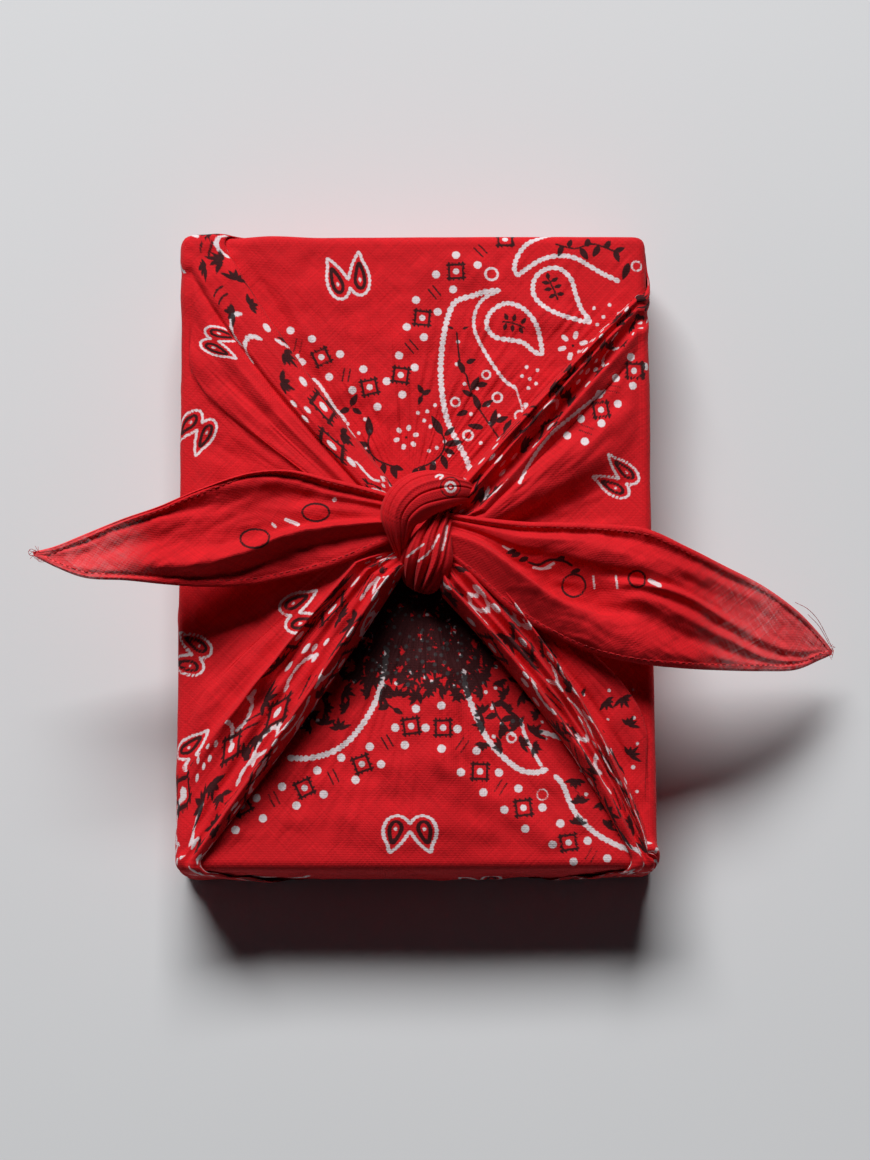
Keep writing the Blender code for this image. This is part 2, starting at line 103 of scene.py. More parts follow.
# The knot draws the side panels up taut. This is added to their lines, but not to the tucked edges.
DRAWN_UP = (5.0, 3.6, 0.0)

# Each sheet of cloth is a run of lines, anticlockwise, in groups. The lines of a bundle give "across" and
# "up". A plain line gives its knot end, its place on the rim and "up", and runs straight.
SHEETS = {
    "far_flap": (
        ("far_right",
         ((-.6, -2, -1.5), (.3, .15, .1)), ((4.2, 2.4, 3.6), (.3, .15, .1))),
        ("plain",
         ((10, 18.6), 90, (.3, .1, .1)), ((8.2, 19.6), 97.5, (.3, .2, 0)), ((7, 20), 101.4, (.3, .2, 0)),
         ((5.6, 20.4), 105.5, (.3, .2, 0)), ((3, 21), 130, (.3, .4, 0)), ((-2, 21.4), 175, (.3, .6, 0)),
         ((-6, 21.4), 207, (.3, .8, .2)), ((-8, 21.6), 222, (.3, 1, 1.8))),
        ("far_left",
         ((-4.6, -6, -15), (.3, .15, .2)), ((-1, -2, -9), (.3, .15, .1))),
    ),
    "left_panel": (
        ("far_left",
         ((-1.6, -2.2, -10.2), (.8, .5, .4)), ((-3.9, -5.1, -12.6), (2.2, .9, .7)),
         ((-3.7, -5, -12.4), (5, 2.2, 1.4)), ((-2.6, -3.6, -10.4), (8.2, 4, 2.6)),
         ((0, 0, -4.5), (8.8, 4.2, 2.4)), ((2.6, 4, 3), (8.8, 3.8, 2.2)), ((4, 6.3, 9.5), (8.2, 3.2, 2)),
         ((4.5, 7.1, 11.3), (6, 1.4, 1)), ((5.6, 8.7, 14), (7.4, 2.6, 1.2)),
         ((7, 11, 18.5), (8.2, 3.4, 1.6)), ((9, 15.6, 27), (6.6, 1, .5)), ((10.6, 20, 37), (6.8, .5, .1))),
        ("plain",
         ((-19.8, 7.5), 305, (8, 1.8, .2)), ((-20.2, 4.5), 330, (7.5, 2.2, 0)),
         ((-20.2, 1.5), 354, (8.5, 3, 0)), ((-19.9, -1.4), 378, (7.5, 2, 0)),
         ((-19.6, -3.6), 396, (8.5, 2.6, 0))),
        ("near_left",
         ((-9.4, -16, -42), (8, 2, .1)), ((-7.4, -11.2, -35), (9, 3.2, .1)),
         ((-5.6, -8.8, -29), (12, 6.8, .8)), ((-4.6, -7.2, -24), (10.5, 4.8, .3)),
         ((-3.2, -4.6, -16), (9, 2.8, .2)), ((-1.8, -2.2, -9), (11, 4.2, .6)),
         ((-.2, .4, -5), (9, 2.6, .5)), ((1.2, 2.6, -2), (11, 4.4, 1.2)), ((2.8, 4.6, 1), (10, 4.6, 1)),
         ((5, 7.2, 4.4), (14.5, 10, 3.4)), ((6.3, 8.5, 6.4), (10.5, 6.4, 2.4)),
         ((6.5, 8.8, 6.8), (4.5, 1.2, .7)), ((4.6, 6.8, 4.8), (3, .5, .4))),
    ),
    "near_flap": (
        ("near_left",
         ((2.6, 4.2, 2.6), (.3, .15, .1)), ((6.6, 9, 7.6), (.3, .15, .1))),
        ("plain",
         ((-6, -17), 470, (.3, .2, 0)), ((-1.5, -18), 500, (.3, 1.6, .1)), ((2.5, -18.4), 526, (.3, 4, .5)),
         ((4.4, -18.4), 541, (.3, 4.6, .5)), ((6.4, -18.4), 556, (.3, .6, .1)),
         ((8.4, -18.2), 580, (.3, .3, 0))),
        ("near_right",
         ((-5.8, -3.2, -8), (.3, .15, .1)), ((-2.6, 1, -3), (.3, .15, .1))),
    ),
    "right_panel": (
        ("near_right",
         ((-3.6, -.6, -4.6), (3, .5, .4)), ((-5.6, -2.8, -7), (4.5, 1.2, .7)),
         ((-5.4, -2.5, -6.6), (9.5, 5, 2.2)), ((-4, -1.2, -4.4), (12.5, 7.4, 3)),
         ((-2.4, .8, -1.6), (8, 2.8, 1)), ((-1, 2.4, .6), (10.5, 4.6, 1.8)),
         ((.6, 3.4, 1.6), (7.6, 2.4, 1)), ((3, 4.6, 2.6), (11, 5.2, 2.2)), ((5.5, 5.9, 3.2), (8, 2.2, 1.2)),
         ((8.8, 7.4, 4.2), (12, 6.8, 2.4)), ((9.6, 9.4, 8), (8, 1, .4)), ((10, 14, 22), (8.5, 2.2, .2)),
         ((10, 20, 37), (9.5, 2.4, .1))),
        ("plain",
         ((20.8, -5.6), 652, (8.5, 1.4, 0)), ((21.2, -3.2), 678, (9.5, 3.6, .1)),
         ((21.6, -.6), 704, (8, 1, 0)), ((21.8, 2), 724, (5.6, -1.4, 0)), ((21.6, 4), 738.4, (9.4, 5.6, 1)),
         ((21, 6), 750, (10.4, 6.6, 1.2)), ((20.2, 7.6), 760, (9.5, 4.8, .8))),
        ("far_right",
         ((-10, -10.5, -12.5), (9, 3.4, .8)), ((-8, -8.2, -9.4), (11.5, 5.6, 1.6)),
         ((-6.2, -6.4, -6.8), (7.5, 1.4, .6)), ((-5, -5.2, -5.6), (6, .2, .4)),
         ((-3.8, -4, -4.4), (8, 2.2, 1)), ((-2, -2.2, -2.2), (12, 6.8, 2.8)),
         ((-.8, -1.2, -.8), (10, 4.2, 2)), ((.8, .2, .8), (12.5, 7, 3.2)), ((2.8, 1.4, 2.6), (9, 4.4, 2.2)),
         ((3.6, 1.9, 3.2), (5, 1.2, .8)), ((1.8, 0, 1), (3, .5, .4))),
    ),
}

# Which lines of each side panel the gathered, crowded border of the print lies between
PRINTED = {"left_panel": ((1, 7), (19, 29)), "right_panel": ((0, 10), (21, 30))}
BORDER_PITCH = 5.6
# The motifs were placed as the camera sees them, so a point's print moves this share of its height
PRINT_LEAN = 0.18

# Broad soft ridges, and troughs where the height is less than nothing: both ends of each, height and width
SOFT_FOLDS = {
    "near_flap": (
        ((8, -70), (42, -93), 1.7, 4.6), ((40, -54), (70, -82), 1.5, 3.6),
        ((-28, -62), (-64, -90), 1.2, 4.6), ((-20, -87), (20, -90), .7, 5),
    ),
    "left_panel": (
        ((-20, -4), (-62, -22), -1.2, 3.2), ((-26, 10), (-70, 34), -.9, 4),
    ),
    "right_panel": (
        ((30, 22), (62, 44), -1.2, 3.6), ((44, 6), (70, 14), -.8, 4),
    ),
    "far_flap": (
        ((-36, 70), (-8, 44), .9, 4), ((14, 95), (40, 76), .8, 4.5),
    ),
}

# How far a side panel's tucked edge runs along the short side on its way down to the foot: start and end
TUCKS = {
    "far_flap": (0.0, 0.0), "near_flap": (0.0, 0.0),
    "left_panel": (-30.0, 32.0), "right_panel": (-32.0, 56.0),
}
TUCK_REACH = 42.0
SIDE_BELLY = 1.6
TUCK_STEP = 0.35

# Free ends of the knot. A row is a section from knot to tip: its far edge, its near edge, and the folds
# between them, each with how far across it lies (0 to 1) and how far it stands above the straight line.
LEFT_END = (
    ((-1, 11.4, 50), (-1, 1.4, 48), ((.1, .5), (.2, .3), (.3, .6), (.4, 0), (.5, .5), (.6, .3), (.7, 1.2),
     (.78, .4), (.86, -.2), (.94, .2))),
    ((-11.9, 14.3, 54), (-10.9, -3.1, 50.5), ((.07, .8), (.16, -.6), (.24, .4), (.32, -.6), (.42, 0),
     (.5, .6), (.6, 3), (.68, 1.4), (.78, -.4), (.9, .2))),
    ((-26.7, 17.5, 57), (-23.7, -9.1, 52.5), ((.04, .8), (.12, -1), (.18, -.2), (.26, -.9), (.36, .2),
     (.48, -.4), (.585, 4.2), (.66, 2.2), (.74, -.2), (.88, .4))),
    ((-39.6, 19.9, 58.5), (-38.5, -12.8, 51), ((.018, .6), (.06, -1.1), (.11, -.4), (.255, -1.8), (.4, -.4),
     (.53, .2), (.628, 6), (.7, 4), (.78, .8), (.9, .3))),
    ((-52.4, 18.7, 59.5), (-52.2, -15.5, 52), ((.016, .4), (.034, -.5), (.058, 0), (.24, -1.8), (.4, -.6),
     (.6, .4), (.73, 6), (.8, 3.2), (.87, .4), (.94, .4))),
    ((-66.8, 13.7, 60), (-66.2, -16.3, 54.5), ((.014, .3), (.028, 0), (.048, .3), (.19, -1.4), (.29, -.4),
     (.56, .2), (.8, 5), (.86, 2.4), (.91, .4), (.95, .3))),
    ((-79.2, 8.4, 59.5), (-77.9, -15.7, 56), ((.014, .3), (.028, 0), (.055, .4), (.11, -1), (.17, -.3),
     (.45, -.6), (.81, 3.2), (.87, 1.4), (.92, .1), (.95, .2))),
    ((-91, 4.5, 58.5), (-89.8, -14.5, 56.5), ((.016, .3), (.032, 0), (.065, .3), (.13, -.6), (.22, -.2),
     (.42, -.8), (.76, 1.1), (.86, 1), (.92, 0), (.96, .2))),
    ((-103, -.1, 57), (-101.9, -13.6, 55.5), ((.02, .2), (.045, 0), (.1, .1), (.18, -.4), (.27, -.1),
     (.45, -.4), (.66, .1), (.8, .4), (.9, 0), (.95, .1))),
    ((-112, -3.4, 55.5), (-111, -10.2, 54.5), ((.04, .2), (.08, 0), (.16, .1), (.24, -.1), (.32, 0),
     (.46, -.1), (.62, 0), (.76, .1), (.87, 0), (.94, .1))),
    ((-119, -5, 54.5), (-118.6, -6.3, 54.3), ((.08, 0), (.16, 0), (.26, 0), (.36, 0), (.44, 0), (.54, 0),
     (.64, 0), (.76, 0), (.86, 0), (.94, 0))),
)
RIGHT_END = (
    ((6, 8.3, 50), (6, -2.4, 48), ((.07, .5), (.13, .2), (.2, .7), (.26, .4), (.31, .2), (.35, .3),
     (.39, .4), (.43, .6), (.48, .9), (.56, 1.8), (.72, 1.2), (.9, .6))),
    ((19.9, 5.9, 52), (18.9, -13.2, 49.5), ((.06, .6), (.11, -.4), (.17, 1), (.22, .6), (.26, -.4),
     (.29, -.2), (.32, -.2), (.35, .2), (.39, 1.8), (.45, 4), (.6, 3.2), (.84, 1.2))),
    ((33.8, 4.1, 53.5), (28.8, -22.5, 49), ((.05, .5), (.1, -.6), (.19, 1.8), (.27, 1.4), (.34, -.8),
     (.38, -1.2), (.42, -1.6), (.46, -2), (.51, -1.2), (.58, 6), (.7, 4), (.88, 1))),
    ((46.7, 3.5, 54.5), (41.2, -30.4, 47.5), ((.04, .5), (.09, -.5), (.17, 2.4), (.25, 1.8), (.32, -.6),
     (.39, -1.8), (.46, -2.8), (.54, -3.6), (.63, -3), (.7, 5.6), (.79, 4.2), (.93, 1.6))),
    ((59.6, 2.9, 54.5), (54.9, -36.7, 48), ((.04, .5), (.08, -.5), (.17, 2.4), (.3, 2.2), (.37, -.6),
     (.43, -1.6), (.49, -2.4), (.57, -3.2), (.66, -2.4), (.74, 4.6), (.82, 4.2), (.93, 2.6))),
    ((72.4, 1.5, 54), (68, -40, 48.5), ((.05, .4), (.1, -.6), (.19, 1.2), (.3, 2.4), (.37, -.6), (.43, 3.2),
     (.47, 2), (.52, 3.2), (.63, .2), (.79, 3), (.86, 3.4), (.94, 2.4))),
    ((84.7, -3.5, 51), (82.3, -41.3, 46), ((.04, .3), (.1, -.6), (.2, .6), (.3, -.2), (.35, -.2),
     (.41, 2.4), (.48, .3), (.565, 2.6), (.72, 0), (.86, 2.2), (.9, 2.2), (.95, 1.2))),
    ((97.1, -8.6, 45), (96.2, -41.2, 40), ((.04, .3), (.09, -.5), (.18, .3), (.32, -.5), (.42, -.2),
     (.51, 2), (.59, .1), (.68, 1.8), (.79, -.3), (.9, 1.2), (.94, .7), (.97, .4))),
    ((110.1, -13.7, 37), (109.8, -40.5, 33), ((.04, .2), (.1, -.4), (.2, .2), (.36, -.1), (.52, .2),
     (.65, 1.5), (.74, 0), (.84, 1.1), (.89, .1), (.93, .4), (.96, .2), (.98, .1))),
    ((121.7, -20.2, 28.5), (121, -39.1, 26), ((.05, .2), (.12, -.2), (.24, .1), (.42, .1), (.58, .2),
     (.7, .9), (.78, 0), (.86, .5), (.9, 0), (.94, .2), (.96, .1), (.98, .1))),
    ((130.1, -26.9, 20.5), (130, -34.9, 19.5), ((.08, .1), (.16, -.1), (.26, 0), (.38, .1), (.5, .1),
     (.6, .2), (.7, 0), (.78, .1), (.84, 0), (.89, 0), (.93, 0), (.97, 0))),
    ((134.4, -31.6, 16.6), (134.1, -32.8, 16.4), ((.08, 0), (.16, 0), (.24, 0), (.34, 0), (.44, 0),
     (.52, 0), (.6, 0), (.68, 0), (.76, 0), (.84, 0), (.9, 0), (.96, 0))),
)

# Single threads that have come loose at the tips
LOOSE_THREADS = {
    "left_end": (
        ((-118.2, -4.6, 54.8), (-119.4, -4.2, 54.9), (-120.2, -5, 54.8), (-119.8, -6, 54.6),
         (-118.8, -6.2, 54.5)),
    ),
    "right_end": (
        ((121.6, -17.8, 28.2), (125.4, -19.4, 26.2), (129, -22.4, 23), (132.2, -27.2, 19.4),
         (134.4, -31.4, 16.9), (134.2, -33.4, 16.3)),
        ((125.8, -21.4, 25.6), (129.4, -24.4, 22.4), (132.8, -29.2, 18.6)),
    ),
}

# The mesh of a free end, from knot to tip and across, and the width of its hems
END_ALONG = 260
END_ACROSS_STEP = 0.42
HEM_WIDTH = 2.0

# The two bights of the knot: where a row's middle lies, and half its width and thickness
FAR_BIGHT = (
    ((17.5, 14.2, 42), (3.2, 2.4)), ((14.2, 14.8, 49), (4.4, 4.4)), ((7.2, 13.8, 54.2), (6.6, 5.6)),
    ((.4, 11.4, 55.8), (7.6, 6)), ((-4.2, 6.6, 54.5), (6.8, 5.6)), ((-5, .8, 50.5), (3.8, 4.6)),
    ((-4.4, -5, 44), (1.6, 2.4)),
)
NEAR_BIGHT = (
    ((9.8, 8, 45.5), (1.8, 2)), ((7.8, 3.8, 49.8), (4, 3.4)), ((5.6, -1.4, 51.4), (6.4, 4.2)),
    ((4, -6.4, 50.2), (8, 4.4)), ((2.4, -10.4, 46), (7.6, 4)), ((1.2, -13, 39), (5.6, 3)),
)
# Pleats on a bight: their turn round it, height and width, all in the section's own terms
FAR_PLEATS = (
    (-.66, -.7, .03), (-.5, -.6, .03), (-.3, .5, .08), (-.08, -.9, .03), (.34, -.6, .03), (.75, .4, .12),
)
NEAR_PLEATS = (
    (-.92, 1.2, .08), (-.74, -2.3, .05), (-.58, 1.2, .07), (-.42, -2.3, .05), (-.26, 1.2, .08),
    (-.08, -2.3, .05), (.1, 1.4, .09), (.3, -1.8, .06), (.62, 1, .22), (.92, -1.2, .08),
)

# The light's way and half its size, in degrees as seen from the wrap. The camera's angles are in degrees
# too, and its aim and distance in metres.
LIGHT_TURN = 11.0
LIGHT_RISE = 44.8
LIGHT_HALF_WIDE = 18.0
LIGHT_HALF_HIGH = 9.6
CAMERA_TILT = 10.2
CAMERA_ROLL = -0.28
CAMERA_AIM = (0.0062, -0.0110)
CAMERA_DISTANCE = 0.9
CAMERA_LENS = 87.95


def ease(value, low, high):
    t = np.clip((value - low) / (high - low), 0.0, 1.0)
    return t * t * (3 - 2 * t)


def three_way(values, s):
    """Smooth values at s, through the values at 0, one half and 1."""
    start, half, end = values
    return start * (1 - s) * (1 - 2 * s) + half * 4 * s * (1 - s) + end * s * (2 * s - 1)


def rim(at):
    """Points and outward directions on the parcel's rim, a rectangle with round corners."""
    at = np.mod(np.asarray(at, float), RIM_LENGTH)
    half_x = WIDTH / 2 - CORNER_ROUND
    half_y = LENGTH / 2 - CORNER_ROUND
    arc = CORNER_ROUND * math.pi / 2
    point = np.zeros(at.shape + (2,))
    out = np.zeros(at.shape + (2,))
    legs = (
        (half_y, (WIDTH / 2, 0.0), (0.0, 1.0)),
        (2 * half_x, (half_x, LENGTH / 2), (-1.0, 0.0)),
        (2 * half_y, (-WIDTH / 2, half_y), (0.0, -1.0)),
        (2 * half_x, (-half_x, -LENGTH / 2), (1.0, 0.0)),
        (half_y, (WIDTH / 2, -half_y), (0.0, 1.0)),
    )
    start = 0.0
    for length, first, along in legs:
        first, along = np.array(first), np.array(along)
        face = np.array((along[1], -along[0]))
        on = (at >= start) & (at <= start + length + 1e-9)
        point[on] = first + along * (at[on] - start)[:, None]
        out[on] = face
        start += length
        on = (at > start) & (at < start + arc)
        turn = (at[on] - start)[:, None] / CORNER_ROUND
        way = face * np.cos(turn) + along * np.sin(turn)
        reach = (np.cos(turn) ** CORNER_POWER + np.sin(turn) ** CORNER_POWER) ** (-1 / CORNER_POWER)
        point[on] = first + along * length - face * CORNER_ROUND + way * CORNER_ROUND * reach
        out[on] = way
        start += arc
    return point, out


def rim_inset(at):
    point, out = rim(at)
    return point - out * EDGE_ROUND


def sheet_line(row, s):
    """One line of a sheet: its points at every s, and its place on the rim."""
    if row[0] == "plain":
        _, knot, at, up = row
        start, end = np.array(knot), rim_inset([at])[0]
        flat = start + (end - start) * s[:, None]
    else:
        name, across, up = row
        bundle = BUNDLES[name]
        start = np.array(bundle["knot"])
        ahead = rim_inset([bundle["at"]])[0] - start
        ahead /= np.linalg.norm(ahead)
        side = np.array((-ahead[1], ahead[0]))
        at = bundle["at"] + across[2]
        points = (start + side * across[0], np.array(bundle["half"]) + side * across[1], rim_inset([at])[0])
        flat = np.stack([three_way([p[k] for p in points], s) for k in (0, 1)], axis=1)
    rise = np.maximum(three_way(up, s), 0.0)
    return np.column_stack((flat, rise)), at


def net(lines, places, step):
    """Points smooth across lines and at most each gap's step apart, and each column's value of places."""
    lines = np.asarray(lines)
    count = len(lines)
    jumps = np.linalg.norm(np.diff(lines, axis=0), axis=2)
    gaps = np.maximum(jumps, 0.15)
    which, part = [], []
    for i in range(count - 1):
        pieces = max(2, math.ceil(jumps[i].max() / step[i]))
        which += [i] * pieces
        part += [k / pieces for k in range(pieces)]
    which.append(count - 2)
    part.append(1.0)
    i = np.array(which)
    t = np.array(part)[:, None, None]
    before, start = lines[np.maximum(i - 1, 0)], lines[i]
    end, after = lines[i + 1], lines[np.minimum(i + 2, count - 1)]
    gap_in = gaps[np.maximum(i - 1, 0)][..., None]
    gap = gaps[i][..., None]
    gap_out = gaps[np.minimum(i + 1, count - 2)][..., None]
    slope_start = ((start - before) / gap_in * gap + (end - start) / gap * gap_in) / (gap_in + gap)
    slope_end = ((end - start) / gap * gap_out + (after - end) / gap_out * gap) / (gap + gap_out)
    points = (start * (2 * t ** 3 - 3 * t ** 2 + 1) + slope_start * gap * (t ** 3 - 2 * t ** 2 + t)
              + end * (3 * t ** 2 - 2 * t ** 3) + slope_end * gap * (t ** 3 - t ** 2))
    places = np.asarray(places, float)
    return points, places[i] + (places[i + 1] - places[i]) * t[:, 0, 0]


def wrinkles(x, y, seed, longest=26.0, shortest=5.0, count=26):
    """A crumple of crossing soft waves, about 1 high where they meet."""
    draw = np.random.default_rng(seed)
    total = np.zeros(np.broadcast(x, y).shape)
    for _ in range(count):
        length = shortest * (longest / shortest) ** draw.random()
        turn = draw.random() * math.pi
        lean = draw.random() * 2 * math.pi
        wave = np.sin((x * math.cos(turn) + y * math.sin(turn)) * 2 * math.pi / length + lean)
        swell = np.sin((x * math.sin(turn) - y * math.cos(turn)) * 2 * math.pi / (length * 3.1) + lean * 1.7)
        total += (length / longest) * wave * (0.5 + 0.5 * swell)
    return total * 0.35


def mesh_of_grid(name, points, attributes, uv, flip=False):
    """A smooth mesh from a grid of points in millimetres, with point attributes and the cloth's map."""
    rows, columns = points.shape[:2]
    index = np.arange(rows * columns).reshape(rows, columns)
    a, b, c, d = index[:-1, :-1], index[1:, :-1], index[1:, 1:], index[:-1, 1:]
    corners = np.stack((a, d, c, b) if flip else (a, b, c, d), axis=-1).reshape(-1, 4)
    data = bpy.data.meshes.new(name)
    data.vertices.add(rows * columns)
    data.vertices.foreach_set("co", (points.reshape(-1, 3) * MM).astype(np.float32).ravel())
    data.loops.add(corners.size)
    data.loops.foreach_set("vertex_index", corners.astype(np.int32).ravel())
    data.polygons.add(len(corners))
    data.polygons.foreach_set("loop_start", np.arange(0, corners.size, 4, dtype=np.int32))
    data.update(calc_edges=True)
    data.polygons.foreach_set("use_smooth", np.ones(len(corners), dtype=bool))
    layer = data.uv_layers.new(name="cloth")
    layer.data.foreach_set("uv", (uv.reshape(-1, 2)[corners.ravel()] * MM).astype(np.float32).ravel())
    for key, values in attributes.items():
        attribute = data.attributes.new(key, "FLOAT", "POINT")
        attribute.data.foreach_set("value", values.astype(np.float32).ravel())
    data.validate()
    thing = bpy.data.objects.new(name, data)
    bpy.context.scene.collection.objects.link(thing)
    return thing


def turned(x, y, angle):
    return x * math.cos(angle) - y * math.sin(angle), x * math.sin(angle) + y * math.cos(angle)


def cloth_map(x, y):
    """The weave runs corner to corner of the parcel, because the cloth lies askew under it."""
    u, v = turned(x, y, math.radians(45))
    return np.stack((u, v), axis=-1)


# The print. Each motif has its place on the parcel, seen from above.

# How far off ink is said to be where there is none near
NO_INK = 9.0

# Half of a pair of small paisleys: its white outline, and the black one inside it
PAISLEY_OUTLINE = (
    (0, -.6), (1, 1.6), (2.6, 4.6), (5.6, 8.2), (6.2, 5.2), (7.2, 2), (7.4, -1.6), (6.2, -5.4), (3.8, -7),
    (1.6, -6.2), (0, -3.8),
)
PAISLEY_HEART = (
    (4.9, 4.4), (5.6, 1.4), (5.6, -2), (4.5, -4.4), (3, -4.2), (2.3, -1.8), (3.3, 1.6), (4.9, 4.4),
)
# Pairs of paisleys as x, y, angle in degrees, width and height. The last six are beyond the top.
BUTTERFLIES = (
    (-21.5, 88.5, 12, .92, .94), (-70, 38, 146, .78, .84), (-62.5, 67, 250, .62, .85),
    (64.8, 21.8, 55, .78, .84), (-2, -91, 180, 1.12, .76), (-71, -34.5, 66, .86, .8),
    (-36, -21, 290, .84, .85), (-68.6, -66, 303, .78, .84), (-96, 14, 60, .9, .9), (-98, -50, 130, .9, .9),
    (98, 60, 200, .9, .9), (97, -20, 110, .9, .9), (-10, 122, 170, .9, .9), (20, -124, 10, .9, .9),
)
# Squares of crossed bars, and further on the pairs of short lines, as x, y and angle
CHAIN_SQUARES = (
    (-50.5, 68.5, 20), (-30, 62, 25), (-14.5, 52, 12), (-4.5, 56, -8), (2.5, 75, -6), (13.5, 90.5, 2),
    (29.5, 101.5, 0), (70.5, 57, 0), (59.5, 44, 8), (-35, -77, 25), (-17, -69.5, 20), (-1.5, -57.5, 8),
    (8.5, -58, 0), (20, -72, -4), (33.5, -83.5, 6), (47.5, -94.5, 8), (-54.5, -82.5, 30),
)
DOTS = (
    (13.5, 96), (20.5, 92.5), (7, 89.5), (12.5, 84.5), (.5, 81), (7.5, 77), (-2.5, 72), (3, 68.5),
    (-5, 62.5), (0, 58.5), (-9, 54), (-4, 49.5), (-40, 71), (-33, 68), (-24, 63), (-27.5, 55.5),
    (-16.5, 58), (-20, 51), (-12, 45.5), (-36.5, 60.5), (-52.5, 66), (-54.5, 74.5), (-47.5, 72),
    (-45.5, 63.5), (69.5, 61.5), (74, 58.5), (64.5, 54.5), (70, 52), (65, 46), (59, 49), (59.5, 39.5),
    (53, 41), (48.5, 35.5), (54, 33.5), (-48, -86.5), (-37.5, -82.5), (-42, -76.5), (-31, -71.5),
    (-29, -79), (-23.5, -67.5), (-19, -74.5), (-14.5, -64), (-11, -69.5), (-6.5, -58), (0, -52),
    (-3.5, -63.5), (8, -51), (3, -58), (13, -58.5), (8, -64.5), (19, -65.5), (14, -72), (26, -72.5),
    (21, -78.5), (32, -77.5), (27.5, -84), (39.5, -83.5), (34, -90), (45, -88.5), (42.5, -95), (53.5, -94),
    (49, -100.5), (59.5, -99.5), (-56.5, -90), (-50, -80), (-65.5, -94.5), (-66, -80), (-60, -73),
    (-70, -87), (-62, -84), (-58, -78),
)
SMALL_DOTS = (
    (-42, 60.5), (-39, 62), (-36, 57), (-41, 56.5), (-38.5, 59.5), (-24.5, 41), (-21.5, 40), (-18, 37),
    (-14.5, 37.5), (-16, 41.5), (4, 44), (6.5, 46), (3, 41), (1, 43.5), (5, 39), (7, 32), (9.5, 34),
    (4.5, 31), (11, 29.5), (6, 27), (36, 58.5), (39.5, 57.5), (37, 54.5), (34.5, 55.5), (39, 53),
    (36.5, 51.5), (14, 67), (13.5, 59.5), (16, 53), (20, 51.5), (23.5, 46), (18, 43), (24, 40), (27, 42.5),
    (21, 33.5), (29, 36), (-18, 27), (-14, 25), (-20, 30), (-16, 32), (-2, -40), (3, -42), (6, -38),
    (-6, -44), (12, -45), (10, -41), (24, -52), (27, -57), (22, -47), (30, -60), (58, 78), (61, 75),
    (59, 72.5), (63, 79), (60.5, 70), (66, 76),
)
LINE_PAIRS = (
    (6.5, 83.5, 38), (-1, 65.5, 40), (21.5, 97.5, 42), (-37.5, 66, -12), (-22, 56, -10), (63.5, 51, 78),
    (54.5, 37.5, 68), (-44.5, -80.5, 26), (-26, -73.5, 26), (-9, -62.5, 30), (14.5, -63.5, -36),
    (26.5, -77, -34), (54.5, -98.5, -30), (-45, 60.5, 80), (70, 73, 80),
)
# White scalloped outlines: half their width, then the points they pass through. The last three go on down
# the far and near sides and on the right side.
OUTLINES = (
    (.95, ((27.5, 84), (23, 83.6), (19.5, 82.5), (13.5, 80.5), (11, 76), (9.4, 69), (8.5, 61.5), (8.4, 55),
     (9, 48), (10.4, 41), (13, 35), (16.5, 28), (18, 22))),
    (.6, ((27.5, 84), (22, 81), (19.4, 76), (19.6, 70), (23.5, 62), (28.5, 54.5), (32.5, 51.5))),
    (.3, ((32.5, 51.5), (34, 46.5), (35, 42))),
    (.75, ((36.2, 41.5), (35.6, 46))),
    (.8, ((42, 102.5), (36.5, 99.5), (33.5, 95.5), (32.4, 91.5), (33.5, 89.3), (36, 91), (40.5, 94),
     (45, 95.4), (49.5, 95.5), (53, 94.4), (57, 92), (61, 89.5), (66, 87))),
    (.8, ((31, 67.5), (26, 68.5), (23.3, 72), (24.4, 76.5), (29, 79.6), (33.5, 78.8), (37, 76),
     (39.6, 71.5), (41, 64.5), (40.4, 62.8), (38, 64), (35, 66.6), (31, 67.5))),
    (.8, ((47, 75.8), (42, 78.5), (38.6, 82.5), (39, 88), (43, 91.3), (47.5, 91), (50.8, 87.5),
     (52.2, 82.5), (54, 77.5), (56.6, 73.8), (54.5, 73.6), (51, 74.6), (47, 75.8))),
    (.55, ((-36.5, 53.6), (-33.5, 54.6), (-31.5, 54), (-28, 49), (-25.5, 45), (-22.5, 41.5), (-26, 42),
     (-30, 44.5), (-33.5, 48.5), (-36.5, 53.6))),
    (.95, ((-9, -33), (-10, -40), (-12, -48), (-15.5, -55), (-20.5, -61.5), (-26, -65.5), (-33, -67.5),
     (-39.5, -67.5))),
    (.95, ((15, -40), (16, -46.5), (19.5, -56), (24, -64), (31.5, -71), (37, -72.5), (41, -71.5))),
    (.6, ((33, -55.5), (34, -60), (36, -64.5), (39, -70))),
    (.9, ((43.5, -73.5), (46, -76.5), (49, -84), (53.5, -89.5), (58, -93), (64, -96), (70, -98))),
    (.8, ((39, -59.5), (46, -62), (52.5, -67.5), (57, -73.5), (61, -79), (64.5, -86), (67, -92),
     (71, -98))),
    (.55, ((61, 50.5), (53.5, 44.5), (48, 40), (42, 34.5), (36, 26), (33, 20))),
    (.35, ((69, 78), (62, 69.5), (54, 62), (46.5, 55), (37.5, 46), (28, 35.5))),
    (.45, ((66.5, 71.5), (58, 63.5), (50, 56.5), (42, 48.5), (34, 39))),
    (.6, ((-17, -17), (-22, -22), (-26, -25.5), (-29, -27), (-31, -26))),
    (.6, ((-31, -31), (-35, -36), (-40, -40.5), (-43, -42))),
    (.65, ((-50, -52), (-52.5, -55.5), (-56, -57.5), (-57, -55))),
    (.45, ((-34.5, -45.5), (-39, -50), (-42.5, -56), (-44, -61.5), (-41.5, -64))),
    (.45, ((-24, -38), (-28, -44), (-31, -49), (-33.5, -54.5), (-36, -58))),
    (.8, ((42, 102.5), (47, 106), (53, 112), (55, 120), (52, 128), (46, 132), (41, 128), (43, 120),
     (47, 114))),
    (.8, ((-60, -112), (-54, -118), (-46, -121), (-38, -119), (-34, -113))),
    (.8, ((86, -58), (92, -62), (99, -60), (103, -53), (100, -45), (93, -43), (89, -49), (93, -54))),
)
